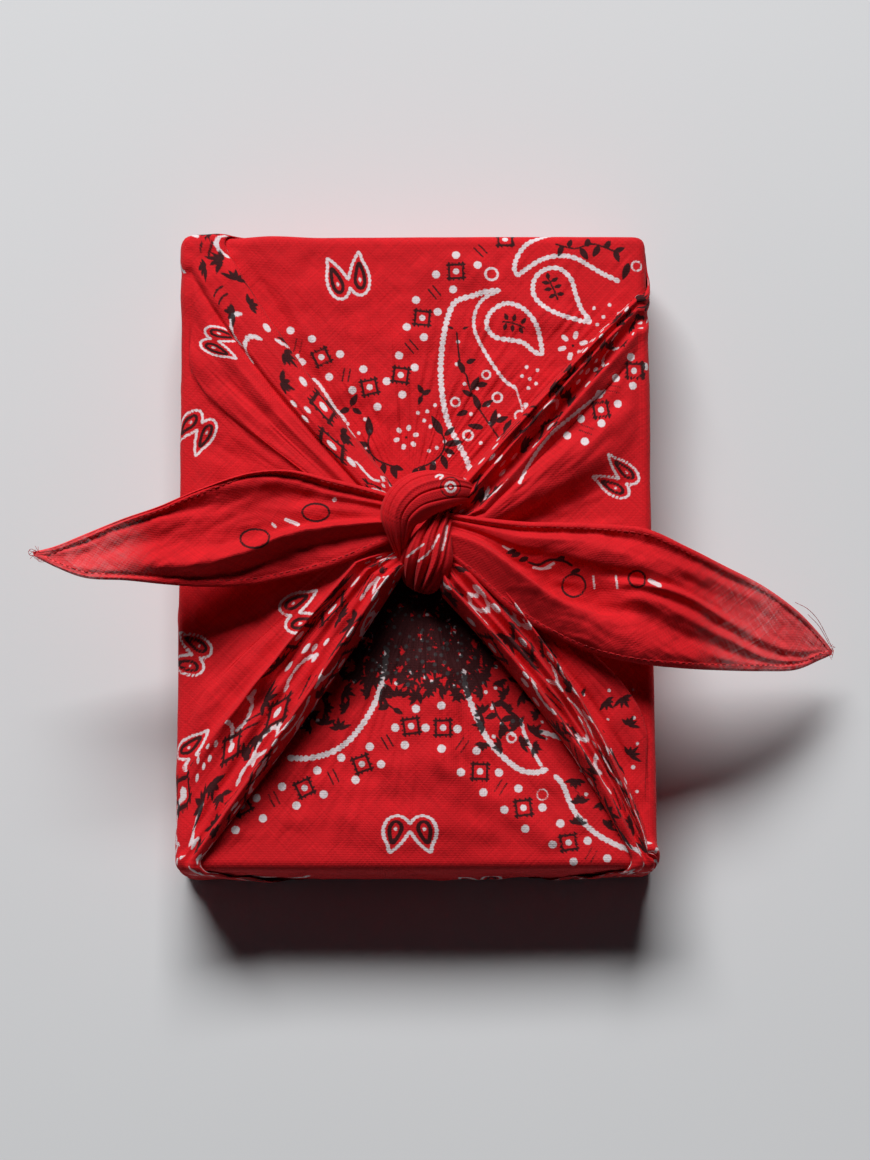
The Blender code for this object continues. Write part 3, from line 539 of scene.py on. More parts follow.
# Black stems, and pointed leaves as x, y, which way they point, length and half width
SPRAYS = (
    (((13.6, 70), (14.2, 63), (15, 57)), ((12.6, 71.3, 160, 2.2, .45), (15.4, 71.2, 20, 2.2, .45))),
    (((15, 57), (16.5, 56), (18, 50.5), (20.5, 45), (24, 39.5), (27, 35)), ((16, 57, 120, 4.5, 1),
     (16.6, 60, 20, 3.4, .9), (18.2, 51, 60, 5, 1.1), (20, 52.5, 8, 3.6, 1), (18.5, 49, 150, 4, .9),
     (20.8, 44.5, 110, 5.6, 1.1), (21.5, 45.5, 30, 4.4, .9), (17, 44, 200, 4, 1), (24.6, 39, 75, 6, 1.1),
     (26, 40.5, 22, 4.4, 1), (22, 38.5, 170, 5.4, 1), (28.5, 37, 60, 5, 1))),
    (((28.5, 73.5), (32, 73), (35.5, 71.5)), ((30, 74, 110, 2.6, .7), (32, 73.6, 80, 2.6, .7),
     (34.4, 72.8, 50, 2.6, .7), (29.6, 72.8, 250, 2.4, .7), (31.6, 72.4, 270, 2.4, .7),
     (33.8, 71.6, 300, 2.4, .7))),
    (((43.5, 87.5), (45, 84.5), (46.3, 81)), ((43.6, 86.4, 170, 2.6, .7), (44.4, 84.6, 190, 2.6, .7),
     (45.4, 82.6, 210, 2.4, .7), (44.4, 87, 30, 2.6, .7), (45.4, 85, 20, 2.6, .7), (46.2, 82.8, 0, 2.4, .7),
     (43.4, 87.8, 100, 2.4, .7))),
    (((-14, 38), (-15, 34), (-14, 30), (-11, 27.5), (-7, 26)), ((-14.4, 36, 95, 6.5, 1.3),
     (-15, 33, 175, 4.6, 1.1), (-14.4, 31, 200, 4.6, 1.1), (-13, 28.5, 240, 4.8, 1.1),
     (-10, 27, 265, 4.4, 1.1), (-7.5, 26.3, 290, 4.8, 1.1), (-7, 26, 340, 3.6, .9))),
    (((8, 38), (9.5, 34), (8.5, 30), (5, 27), (1, 25.5)), ((8.6, 36.5, 118, 7, 1.3), (9.5, 36, 40, 4.4, .9),
     (9.6, 33, 10, 6, 1.1), (9.4, 31.5, 335, 4, .9), (8.6, 29.5, 290, 5, 1.1), (6, 27.5, 260, 4.8, 1.1),
     (3, 26, 245, 4.4, 1.1), (.5, 25.5, 255, 4.4, 1.1))),
    (((46, 99.5), (52, 98), (58, 99.5), (65, 97)), ((48, 99, 250, 4, 1), (50, 98.5, 70, 3, .9),
     (54, 98, 300, 4.6, 1.1), (56, 98.6, 80, 3.4, 1), (60, 98.8, 240, 4.4, 1.1), (62, 98, 60, 3.4, 1),
     (65, 97, 290, 4, 1), (65, 97, 20, 3.6, .9), (69.5, 93, 250, 6, 1.2))),
    (((2, 48.5), (3.2, 50.5)), ((2.4, 49.5, 30, 3.4, .9), (2.6, 50, 120, 3.4, .9), (2.2, 49, 250, 3, .8))),
    (((-21.5, 44.5), (-19.5, 47)), ((-20.6, 46, 60, 4.4, 1.1), (-21, 45, 200, 3.6, 1),
     (-20, 45, 330, 3.6, .9))),
    (((-3, -44), (0, -47), (2, -45)), ((-2, -46, 230, 3.6, .9), (1, -47, 280, 3.6, .9),
     (3, -45, 20, 3.6, .9))),
    (((-10, -50), (-7, -52)), ((-8.5, -51, 200, 3.8, 1), (-7, -52, 330, 3.4, .9))),
    (((24, -50), (26, -55), (29, -59)), ((24.5, -51, 10, 4, 1), (25.4, -54, 200, 4, 1), (27, -56, 20, 4, 1),
     (28.4, -58.4, 230, 4, 1))),
    (((-58, -84), (-55, -80), (-56, -75)), ((-56, -80, 150, 4, 1), (-55, -79, 20, 3.6, 1),
     (-57, -83, 300, 4, 1))),
    (((-44, -52), (-47, -56), (-52, -60)), ((-46, -54, 200, 4.4, 1.1), (-49, -58, 120, 4, 1))),
)
# Fields of close black sprigs: low and high corners, and how far apart the sprigs are. The first four,
# packed close under the knot, are partly print and partly painted shade: they darken the hollow where the
# knot's shadow falls.
SPRIG_FIELDS_AND_PAINTED_SHADE = (
    (-12, -38, 16, -9, 2.2), (-20, -42, -12, -20, 3.2), (16, -42, 23, -20, 3.2), (-16, -47, 20, -38, 3.8),
    (22, -64, 38, -40, 5.2), (50, -90, 74, -48, 8), (-34, -58, -20, -34, 5.6),
)
# Rings as x, y, radius and half their line's width. Flowers as x, y, reach, petals, length and half width.
RINGS = (
    (25, 89.5, 2, .38), (26.5, 48.5, 1.5, .34), (17, 36, 1.5, .36), (13, 47, 1.4, .3),
    (33.6, 42.5, 1.5, .3), (23, 56, 1.3, .3), (30, -61.5, 1.4, .3), (39.5, -79.5, 1.7, .2),
    (72, 92, 1.6, .3),
)
FLOWERS = (
    (51, 65.5, 3.6, 6, 1.35, .75), (-2.8, 35.5, 3.2, 6, .95, .7), (-38.6, 59.6, 3, 6, .8, .6),
)

# On the free ends: strokes as half their width, their ink and their points, and black ovals and rings
END_STROKES = {
    "left_end": (
        (.55, "white", ((-40.2, 8.4), (-38.2, 7.6), (-36.4, 6.8))), (.4, "white", ((-44.4, 7), (-43.4, 6))),
    ),
    "right_end": (
        (.35, "white", ((27.6, -.4), (29.4, -1.4), (30.6, -1.2))), (.4, "white", ((40, -7.6), (42.2, -7.2))),
        (.7, "white", ((73.2, -11.6), (76, -13))), (.4, "white", ((37, -7.2), (40, -7.6), (43.4, -5.8))),
        (.4, "black", ((35.6, -5.6), (38.6, -6.4), (42, -4.8), (46.2, -5.2), (49, -6.6))),
        (.3, "white", ((55.6, -10), (56, -14))), (.3, "white", ((62.6, -10), (63, -14))),
    ),
}
END_OVALS = {"left_end": ((-49.7, 2.4, 4.6, 3), (-30.8, 10.6, 4.2, 2.8))}
END_RINGS = {"right_end": ((49.6, -13, 3.6), (69.1, -11, 2.6))}
# Where along a free end its weave opens, and where it is fully sheer. The same share also paints the red
# lighter there: painted light shining through the thin cloth.
SHEER_FROM = {"left_end": (.60, .80), "right_end": (.55, .75)}


def smooth_path(points, pieces=6):
    """Given points turned into a smooth run of short pieces."""
    points = np.asarray(points, float)
    if len(points) < 3:
        return points
    padded = np.vstack((2 * points[0] - points[1], points, 2 * points[-1] - points[-2]))
    if np.allclose(points[0], points[-1]):
        padded = np.vstack((points[-2], points, points[1]))
    t = np.linspace(0, 1, pieces, endpoint=False)[:, None]
    runs = []
    for k in range(1, len(padded) - 2):
        a, b, c, d = padded[k - 1:k + 3]
        runs.append(0.5 * (2 * b + (c - a) * t + (2 * a - 5 * b + 4 * c - d) * t ** 2
                           + (3 * b - a - 3 * c + d) * t ** 3))
    return np.vstack(runs + [padded[-2][None]])


def to_path(x, y, path):
    """Distance from each point to a path, and how far along the path that is."""
    best = np.full(x.shape, 1e6)
    along = np.zeros(x.shape)
    start = 0.0
    for (ax, ay), (bx, by) in zip(path[:-1], path[1:]):
        length = math.hypot(bx - ax, by - ay)
        if length < 1e-6:
            continue
        part = np.clip(((x - ax) * (bx - ax) + (y - ay) * (by - ay)) / length ** 2, 0, 1)
        far = np.hypot(x - ax - (bx - ax) * part, y - ay - (by - ay) * part)
        nearer = far < best
        best = np.where(nearer, far, best)
        along = np.where(nearer, start + part * length, along)
        start += length
    return best, along


class Ink:
    """White and black ink on a sheet, as distances in millimetres to the edge of what is printed."""

    def __init__(self, x, y):
        self.x, self.y = x.ravel(), y.ravel()
        self.white = np.full(self.x.shape, NO_INK)
        self.black = np.full(self.x.shape, NO_INK)
        self.shape = x.shape

    def near(self, x, y, reach):
        on = np.nonzero((np.abs(self.x - x) < reach) & (np.abs(self.y - y) < reach))[0]
        return on, self.x[on] - x, self.y[on] - y

    def dot(self, x, y, radius, ink="white"):
        on, u, v = self.near(x, y, radius + 1.5)
        self.lay(ink, on, np.hypot(u, v) - radius)

    def lay(self, ink, on, distance):
        layer = getattr(self, ink)
        layer[on] = np.minimum(layer[on], distance)

    def ring(self, x, y, radius, half, ink="white"):
        on, u, v = self.near(x, y, radius + 2)
        self.lay(ink, on, np.abs(np.hypot(u, v) - radius) - half)

    def stroke(self, points, half, ink="white", scallop=0.0, pitch=1.7):
        path = smooth_path(points)
        low, high = path.min(axis=0) - half - 1.5, path.max(axis=0) + half + 1.5
        on = np.nonzero((self.x > low[0]) & (self.x < high[0]) & (self.y > low[1]) & (self.y < high[1]))[0]
        if not len(on):
            return
        far, along = to_path(self.x[on], self.y[on], path)
        tooth = np.abs(np.sin(math.pi * along / pitch + 0.7 * np.sin(along * 0.9)))
        wide = half * (1 - scallop + 2 * scallop * tooth)
        self.lay(ink, on, far - wide)

    def leaf(self, x, y, angle, length, half):
        on, u, v = self.near(x, y, length + 1.5)
        u, v = turned(u, v, -math.radians(angle))
        part = np.clip(u / length, 0, 1)
        self.lay("black", on, np.hypot(u - part * length, v) - half * np.sin(math.pi * part ** 0.75) ** 0.8)

    def chain_square(self, x, y, angle):
        on, u, v = self.near(x, y, 6)
        u, v = turned(u / 0.88, v / 0.88, -math.radians(angle))
        for p, q in ((u, v), (v, u)):
            bar = np.hypot(np.maximum(np.abs(p) - 3.3, 0), np.abs(q) - 2.55) - 0.42
            self.lay("black", on, bar)
            for place in (-1.1, 1.1):
                tick = np.hypot(p - place, np.maximum(np.abs(np.abs(q) - 3.0) - 0.35, 0)) - 0.30
                self.lay("black", on, tick)
        self.lay("white", on, np.hypot(u, v) - 1.15)

    def line_pair(self, x, y, angle):
        on, u, v = self.near(x, y, 5)
        u, v = turned(u, v, -math.radians(angle))
        for place in (-0.95, 0.95):
            self.lay("black", on, np.hypot(u - place, np.maximum(np.abs(v) - 2.1, 0)) - 0.27)

    def butterfly(self, x, y, angle, wide, high):
        on, u, v = self.near(x, y, 13 * high)
        if not len(on):
            return
        u, v = turned(u, v, -math.radians(angle))
        u, v, size = np.abs(u) / wide, v / high, (wide + high) / 2
        outline = smooth_path(PAISLEY_OUTLINE)
        far, along = to_path(u, v, outline)
        tooth = np.abs(np.sin(math.pi * along / 1.6))
        self.lay("white", on, (far - 0.34 - 0.26 * tooth) * size)
        drop = smooth_path(PAISLEY_HEART)
        far, _ = to_path(u, v, drop)
        self.lay("black", on, (far - 0.62) * size)
        self.lay("white", on, (np.hypot(u - 4.0, (v + 1.5) * 0.6) - 0.5) * size)

    def flower(self, x, y, reach, petals, length, half):
        for k in range(petals):
            angle = 2 * math.pi * (k + 0.25) / petals
            cx, cy = x + reach * math.cos(angle), y + reach * math.sin(angle)
            on, u, v = self.near(cx, cy, length + 2)
            u, v = turned(u, v, -angle)
            self.lay("white", on, np.hypot(np.maximum(np.abs(u) - length + half, 0), v) - half)
        self.dot(x, y, 0.45, "black")

    def done(self):
        return {"ink_white": self.white.reshape(self.shape), "ink_black": self.black.reshape(self.shape)}


def square_print(x, y):
    """The bandana's print on the flaps and panels, from where each motif lies on the parcel."""
    ink = Ink(x, y)
    for row in BUTTERFLIES:
        ink.butterfly(*row)
    for row in CHAIN_SQUARES:
        ink.chain_square(*row)
    for x0, y0 in DOTS:
        ink.dot(x0, y0, 1.3)
    for x0, y0 in SMALL_DOTS:
        ink.dot(x0, y0, 0.62)
    for row in LINE_PAIRS:
        ink.line_pair(*row)
    for half, points in OUTLINES:
        ink.stroke(points, half * 0.80, scallop=0.34)
    for stem, leaves in SPRAYS:
        ink.stroke(stem, 0.3, "black")
        for leaf in leaves:
            ink.leaf(*leaf)
    # The first four sprig fields also paint shade into the hollow under the knot, on top of the print there
    for seed, field in enumerate(SPRIG_FIELDS_AND_PAINTED_SHADE):
        sprig_field(ink, 90 + seed, *field)
    for row in RINGS:
        ink.ring(*row)
    for row in FLOWERS:
        ink.flower(*row)
    return ink


# The shape of the cloth


def wall_rows():
    """How far down and how far in from the wall each row lies, from the rim's rounding to the underside."""
    turns = np.linspace(0, math.pi / 2, 7)[1:]
    rows = [(EDGE_ROUND * (1 - math.cos(t)), EDGE_ROUND * (1 - math.sin(t))) for t in turns]
    rows += [(drop, 0.0) for drop in np.linspace(EDGE_ROUND, HEIGHT - FOOT_ROUND, 28)[1:]]
    rows += [(HEIGHT - FOOT_ROUND * (1 - math.sin(t)), FOOT_ROUND * (1 - math.cos(t)))
             for t in np.linspace(0, math.pi / 2, 5)[1:]]
    rows += [(HEIGHT - 0.25, FOOT_ROUND + 3.0), (HEIGHT - 0.7, FOOT_ROUND + 7.0)]
    return rows


def shaped_sheet(name, sizes):
    """One sheet of the cloth: its points, their places in the unfolded square, and how far across and along
    the gathered cloth they lie."""
    rows = [(group[0],) + line for group in SHEETS[name] for line in group[1:]]
    if name.endswith("panel"):
        rows = [row if k < 2 or k > len(rows) - 3 else row[:-1] + (np.add(row[-1], DRAWN_UP),)
                for k, row in enumerate(rows)]
    s = np.linspace(0, 1, TOP_ROWS)
    made = [sheet_line(row, s) for row in rows]
    step = [COLUMN_STEP] * (len(rows) - 1)
    if name.endswith("panel"):
        step = [PLAIN_STEP if "plain" in (a[0], b[0]) else COLUMN_STEP for a, b in zip(rows[:-1], rows[1:])]
    places = [place for _, place in made]
    places = [place + RIM_LENGTH * (place < places[0] - 60) for place in places]
    top, number = net([line for line, _ in made], np.arange(len(rows)), step)
    at = np.interp(number, np.arange(len(rows)), places)
    top = top.transpose(1, 0, 2)
    at_rim = rim_inset(at)
    blend = ease(s, 0.9, 1.0)[:, None, None]
    top[:, :, :2] += (at_rim - top[-1, :, :2])[None] * blend
    top[:, :, 2] = np.maximum(top[:, :, 2], 0.05)
    crown = top[-1, :, 2].copy()
    x, y = top[:, :, 0], top[:, :, 1]
    fade = ease(s, 0.02, 0.2)[:, None] * (1 - ease(s, 0.93, 1.0))[:, None]
    soft = wrinkles(x, y, 11 + len(name))
    soft += wrinkles(at[None], s[:, None] * 26.0, 51 + len(name), 13.0, 3.0, 22) * (1.0 - 0.5 * s[:, None])
    top[:, :, 2] = np.maximum(top[:, :, 2] + soft * fade * sizes.wrinkle_depth / MM, 0.02)
    for start, end, tall, width in SOFT_FOLDS[name]:
        gap, _ = to_path(x, y, (start, end))
        top[:, :, 2] = np.maximum(top[:, :, 2] + tall * fade * np.exp(-(gap / width) ** 2), 0.02)
    inward = np.linspace(1, 0, ROWS_IN_KNOT, endpoint=False)[:, None]
    sink = {"far_flap": 0.1, "near_flap": 0.8}.get(name, 11.0)
    ends = top[0, :, :2] + (KNOT_MIDDLE - top[0, :, :2]) * 0.8
    if name == "far_flap":
        ends = top[0, :, :2] - (0.0, UNDER_KNOT)
    under = np.stack((
        top[0, :, 0] + (ends[:, 0] - top[0, :, 0]) * inward,
        top[0, :, 1] + (ends[:, 1] - top[0, :, 1]) * inward,
        top[0, :, 2] + (sink - top[0, :, 2]) * ease(inward, 0.0, 0.8)), axis=-1)
    top = np.concatenate((under, top))
    top[:, :, 2] += HEIGHT

    # Down the wall, over the foot and a little way under
    start_tuck, end_tuck = TUCKS[name]
    near_start = 1 - ease(at - at[0], 0.0, TUCK_REACH)
    near_end = 1 - ease(at[-1] - at, 0.0, TUCK_REACH)
    wall = []
    for drop, inset in wall_rows():
        down = min(drop / HEIGHT, 1.0)
        place = at + (start_tuck * near_start + end_tuck * near_end) * down
        point, out = rim(place)
        height = HEIGHT - drop
        short_side = ease(np.abs(out[:, 1]), 0.6, 1.0)
        bow = math.sin(math.pi * np.clip(height / HEIGHT, 0, 1))
        middle = np.maximum(0.0, 1 - (2 * point[:, 0] / WIDTH) ** 2)
        push = crown * 0.35 * ease(height, HEIGHT * 0.2, HEIGHT) - inset
        push += short_side * SIDE_BELLY * middle * bow
        if start_tuck:
            over = np.maximum(1 - ease(at - at[0], 10.0, TUCK_REACH),
                              1 - ease(at[-1] - at, 10.0, TUCK_REACH))
            push += TUCK_STEP * over * short_side * max(bow, 0.35) + 0.35
        lift = crown * (1 - drop / EDGE_ROUND) if drop < EDGE_ROUND else 0.0
        ripple = wrinkles(place, np.full_like(place, drop * 1.6), 31 + len(name), 30.0, 7.0)
        push += ripple * sizes.wrinkle_depth / MM * ease(drop, 1.0, 8.0) * ease(height, 0.5, 5.0)
        wall.append(np.column_stack((point + out * push[:, None], height + np.full_like(push, 0.02) + lift)))
    points = np.concatenate((top, np.array(wall)), axis=0)

    # The place of each point in the square, with the walls unfolded
    flat = points[:, :, :2].copy()
    run = 0.0
    last = (0.0, EDGE_ROUND)
    for k, (drop, inset) in enumerate(wall_rows()):
        run += math.hypot(drop - last[0], inset - last[1])
        last = (drop, inset)
        place = at + (start_tuck * near_start + end_tuck * near_end) * min(drop / HEIGHT, 1.0)
        point, out = rim(place)
        flat[len(top) + k] = point - out * EDGE_ROUND + out * run

    # How far across the gathered cloth each point lies, and how far from the rim
    steps = np.linalg.norm(np.diff(top, axis=1), axis=2)
    across = np.concatenate((np.zeros((len(top), 1)), np.cumsum(steps, axis=1)), axis=1)
    across = np.vstack((across, np.repeat(across[-1:], len(wall), axis=0)))
    middle = points[:, points.shape[1] // 2]
    run = np.concatenate(([0.0], np.cumsum(np.linalg.norm(np.diff(middle, axis=0), axis=1))))
    return points, flat, across, (run - run[len(top) - 1])[:, None] * np.ones_like(across), number


def sprig(ink, x, y, angle, length):
    for k, part in enumerate((1.0, 0.8, 0.9, 0.65, 0.75)):
        ink.leaf(x, y, angle + 36 * (k - 2), length * part, 0.62)


def sprig_field(ink, seed, low_x, low_y, high_x, high_y, pitch):
    """Black sprigs close together, with small white dots between them."""
    draw = np.random.default_rng(seed)
    for x in np.arange(low_x, high_x, pitch):
        for y in np.arange(low_y, high_y, pitch):
            sprig(ink, x + draw.uniform(-1.5, 1.5), y + draw.uniform(-1.5, 1.5), draw.uniform(0, 360),
                  draw.uniform(3.2, 5.0))
            if draw.random() < 0.6:
                ink.dot(x + draw.uniform(2.0, 3.6), y + draw.uniform(2.0, 3.6), draw.uniform(0.4, 0.7))


def border_print(ink, seed, wide, low, high):
    """The crowded border of the print, as a bundle draws it together: dots, squares, sprigs and dashes."""
    draw = np.random.default_rng(seed)
    for u in np.arange(0.5 * BORDER_PITCH, wide, BORDER_PITCH):
        for v in np.arange(low, high, BORDER_PITCH):
            x, y = u + draw.uniform(-1.3, 1.3), v + draw.uniform(-1.3, 1.3)
            angle, kind = draw.uniform(0, 360), draw.random()
            if kind < 0.14:
                for k in range(3):
                    a = math.radians(angle + 120 * k)
                    ink.dot(x + 1.9 * math.cos(a), y + 1.9 * math.sin(a), 0.75)
            elif kind < 0.26:
                ink.dot(x, y, 1.0)
            elif kind < 0.36:
                ink.chain_square(x, y, angle)
            elif kind < 0.44:
                ink.line_pair(x, y, angle)
            elif kind < 0.82:
                sprig(ink, x, y, angle, draw.uniform(3.2, 5.0))
            else:
                turns = [math.radians(angle + k) for k in (0, 35, 70, 105, 140)]
                bend = [(x + 4.2 * math.cos(a), y + 4.2 * math.sin(a)) for a in turns]
                ink.stroke(bend, 0.45, scallop=0.3)


def add_sheet(name, sizes):
    points, flat, across, along, number = shaped_sheet(name, sizes)
    x, y = flat[:, :, 0].copy(), flat[:, :, 1].copy()
    on_top = TOP_ROWS + ROWS_IN_KNOT
    y[:on_top] += PRINT_LEAN * (points[:on_top, :, 2] - HEIGHT)
    attributes = square_print(x, y).done()
    gathered = across[int(on_top * 0.6)]
    for seed, (first, last) in enumerate(PRINTED.get(name, ())):
        on = np.nonzero((number >= first) & (number <= last))[0]
        u = (gathered[on] - gathered[on[0]])[None] * np.ones((len(points), 1))
        ink = Ink(u, along[:, on])
        border_print(ink, 40 + seed + len(name), u.max(), along.min(), along.max())
        for key, values in ink.done().items():
            attributes[key][:, on] = values
    attributes["sheer"] = np.zeros(x.shape)
    return mesh_of_grid(name, points, attributes, cloth_map(flat[:, :, 0], flat[:, :, 1]))


def along_rows(values, s):
    """Smooth values along rows that are evenly spaced in s."""
    values = np.asarray(values, float)
    spans = len(values) - 1
    i = np.minimum((s * spans).astype(int), spans - 1)
    t = (s * spans - i).reshape((-1,) + (1,) * (values.ndim - 1))
    before, start = values[np.maximum(i - 1, 0)], values[i]
    end, after = values[i + 1], values[np.minimum(i + 2, spans)]
    return (start * (2 * t ** 3 - 3 * t ** 2 + 1) + (end - before) / 2 * (t ** 3 - 2 * t ** 2 + t)
            + end * (3 * t ** 2 - 2 * t ** 3) + (after - start) / 2 * (t ** 3 - t ** 2))


def free_end_points(rows):
    """Points of a free end, along it and across it."""
    lines = []
    for far, near, folds in rows:
        far, near = np.array(far), np.array(near)
        line = [far] + [far + (near - far) * t + np.array((0, 0, rise)) for t, rise in folds] + [near]
        lines.append(line)
    lines = along_rows(np.array(lines), np.linspace(0, 1, END_ALONG))
    gaps = lines.shape[1] - 1
    points, _ = net(lines.transpose(1, 0, 2), np.arange(gaps + 1), [END_ACROSS_STEP] * gaps)
    return points.transpose(1, 0, 2)


def hem_paths(points, run, low, high):
    """Lines along both hems of a free end, a hem's width in from its edges."""
    rows = range(int(low * END_ALONG), int(high * END_ALONG))
    paths = []
    for side in (0, 1):
        line = []
        for k in rows:
            place = HEM_WIDTH if side == 0 else run[k, -1] - HEM_WIDTH
            line.append([np.interp(place, run[k], points[k, :, axis]) for axis in range(3)])
        line = np.array(line) + (0, 0, 0.12)
        paths.append((line, np.gradient(line, axis=0)))
    return paths


def tip_paths(points):
    """The edges of a free end near its tip, with the way that frayed threads stand out from them."""
    first = int(0.955 * END_ALONG)
    middle = points[first - 12:first - 11, points.shape[1] // 2]
    far, near = points[first:, 0], points[first:, -1]
    return [(line, line - middle) for line in (far, near)]


def bight_points(rows, pleats, along=150, around=220):
    """A flattened, pleated tube along its rows."""
    s = np.linspace(0, 1, along)
    here = along_rows([row[0] for row in rows], s)
    half = along_rows([row[1] for row in rows], s)
    ahead = np.gradient(here, axis=0)
    ahead /= np.linalg.norm(ahead, axis=1)[:, None]
    side = np.cross((0, 0, 1), ahead)
    side /= np.linalg.norm(side, axis=1)[:, None]
    lift = np.cross(ahead, side)
    turn = np.linspace(0, 2 * math.pi, around, endpoint=True)
    swell = np.zeros((along, around))
    for place, high, wide in pleats:
        drift = place + 0.25 * np.sin(2.4 * s + place * 3)[:, None]
        off = np.cos(turn)[None] - drift
        upper = ease(np.sin(turn), -0.2, 0.3)[None]
        swell += high * np.exp(-np.abs(off / wide) ** 1.5) * upper
    swell *= (ease(s, 0.0, 0.15) * (1 - ease(s, 0.9, 1.0)))[:, None]
    wide = half[:, :1] * np.cos(turn)[None]
    tall = half[:, 1:] * np.sin(turn)[None]
    across = wide + swell * np.cos(turn)[None] * 0.3
    up = tall + swell * np.sin(turn)[None]
    points = here[:, None] + side[:, None] * across[..., None] + lift[:, None] * up[..., None]
    length = np.concatenate(([0], np.cumsum(np.linalg.norm(np.diff(here, axis=0), axis=1))))
    flat = np.stack(np.broadcast_arrays(length[:, None], turn[None] * half[:, :1].mean()), axis=-1)
    return points, flat


# Finishes


class Nodes:
    """A short way to write a node tree."""

    def __init__(self, tree):
        self.tree = tree

    def add(self, kind, **settings):
        node = self.tree.nodes.new(kind)
        for key, value in settings.items():
            setattr(node, key, value)
        return node

    def put(self, socket, value):
        if isinstance(value, bpy.types.NodeSocket):
            self.tree.links.new(value, socket)
        elif value is not None:
            socket.default_value = value

    def math(self, operation, a, b=None, clamp=False):
        node = self.add("ShaderNodeMath", operation=operation, use_clamp=clamp)
        for socket, value in zip(node.inputs, (a, b)):
            self.put(socket, value)
        return node.outputs[0]

    def attribute(self, name):
        return self.add("ShaderNodeAttribute", attribute_name=name).outputs["Fac"]

    def noise(self, vector, scale, detail=2.0, roughness=0.5):
        node = self.add("ShaderNodeTexNoise")
        self.put(node.inputs["Vector"], vector)
        node.inputs["Scale"].default_value = scale
        node.inputs["Detail"].default_value = detail
        node.inputs["Roughness"].default_value = roughness
        return node.outputs["Fac"]

    def stretch(self, vector, scale):
        node = self.add("ShaderNodeMapping")
        self.put(node.inputs["Vector"], vector)
        node.inputs["Scale"].default_value = scale
        return node.outputs["Vector"]

    def span(self, value, low, high, to_low=0.0, to_high=1.0, smooth=True):
        node = self.add("ShaderNodeMapRange", interpolation_type="SMOOTHSTEP" if smooth else "LINEAR")
        for socket, item in zip(node.inputs, (value, low, high, to_low, to_high)):
            self.put(socket, item)
        return node.outputs[0]

    def mix(self, factor, a, b, blend="MIX"):
        node = self.add("ShaderNodeMix", data_type="RGBA", blend_type=blend)
        self.put(node.inputs["Factor"], factor)
        self.put(node.inputs["A"], a)
        self.put(node.inputs["B"], b)
        return node.outputs["Result"]

    def relief(self, height, strength, distance):
        node = self.add("ShaderNodeBump")
        node.inputs["Strength"].default_value = strength
        node.inputs["Distance"].default_value = distance
        self.put(node.inputs["Height"], height)
        return node.outputs["Normal"]


def new_finish(name):
    material = bpy.data.materials.new(name)
    material.use_nodes = True
    nodes = Nodes(material.node_tree)
    return material, nodes, material.node_tree.nodes["Principled BSDF"]


def printed_cotton(name, sizes, colours, sheer=False):
    """Thin plain-weave cotton with its print. The weave and its thick threads lie in the cloth's own map."""
    material, nodes, shader = new_finish(name)
    cloth = nodes.add("ShaderNodeUVMap", uv_map="cloth").outputs["UV"]
    split = nodes.add("ShaderNodeSeparateXYZ")
    nodes.put(split.inputs[0], cloth)
    pitch = sizes.thread_pitch
    warp = nodes.math("SINE", nodes.math("MULTIPLY", split.outputs[0], math.pi / pitch))
    weft = nodes.math("SINE", nodes.math("MULTIPLY", split.outputs[1], math.pi / pitch))
    crossing = nodes.math("MULTIPLY", warp, weft)
    slub_u = nodes.noise(nodes.stretch(cloth, (70.0, 1500.0, 1.0)), 1.0, 2.0, 0.6)
    slub_v = nodes.noise(nodes.stretch(cloth, (1500.0, 70.0, 1.0)), 1.0, 2.0, 0.6)
    slub = nodes.math("ADD", slub_u, slub_v)
    blotch = nodes.noise(cloth, 38.0, 4.0, 0.6)
    grain = nodes.noise(cloth, 1400.0, 2.0, 0.7)

    bleed = nodes.math("MULTIPLY", nodes.math("SUBTRACT", grain, 0.5), 0.55)
    white = nodes.span(nodes.math("ADD", nodes.attribute("ink_white"), bleed), 0.16, -0.16)
    black = nodes.span(nodes.math("ADD", nodes.attribute("ink_black"), bleed), 0.16, -0.16)
    uneven = nodes.math("ADD", nodes.math("MULTIPLY", slub, 0.6), nodes.math("MULTIPLY", blotch, 0.5))
    shade = nodes.span(uneven, 0.55, 1.15, 0.74, 1.20, smooth=False)
    red = nodes.mix(1.0, colours[0], shade, "MULTIPLY")
    # Painted light: where the cloth is sheer, its red is mixed toward a lighter red, standing in for light
    # shining through the thin tips
    if sheer:
        red = nodes.mix(nodes.math("MULTIPLY", nodes.attribute("sheer"), 0.7), red, (0.95, 0.07, 0.08, 1.0))
    tint = nodes.mix(nodes.math("MULTIPLY", white, 0.94), red, colours[1])
    tint = nodes.mix(nodes.math("MULTIPLY", black, 0.95), tint, colours[2])
    nodes.put(shader.inputs["Base Color"], tint)

    height = nodes.math("ADD", nodes.math("MULTIPLY", crossing, 0.35), nodes.math("MULTIPLY", slub, 1.3))
    height = nodes.math("ADD", height, nodes.math("MULTIPLY", grain, 0.5))
    nodes.put(shader.inputs["Normal"], nodes.relief(height, sizes.weave_relief, 0.0003))
    rough = nodes.span(grain, 0.2, 0.8, 0.78, 0.92, smooth=False)
    nodes.put(shader.inputs["Roughness"], rough)
    shader.inputs["Specular IOR Level"].default_value = 0.25
    shader.inputs["Sheen Weight"].default_value = 0.12
    shader.inputs["Sheen Roughness"].default_value = 0.4
    shader.inputs["Sheen Tint"].default_value = (1.0, 0.35, 0.35, 1.0)
    if sheer:
        thick = nodes.math("ADD", nodes.math("MULTIPLY", slub, 0.9), blotch)
        open_weave = nodes.span(thick, 1.0, 1.55, 0.16, 0.0)
        gap = nodes.math("MULTIPLY", open_weave, nodes.attribute("sheer"))
        nodes.put(shader.inputs["Alpha"], nodes.math("SUBTRACT", 1.0, gap, clamp=True))
    return material


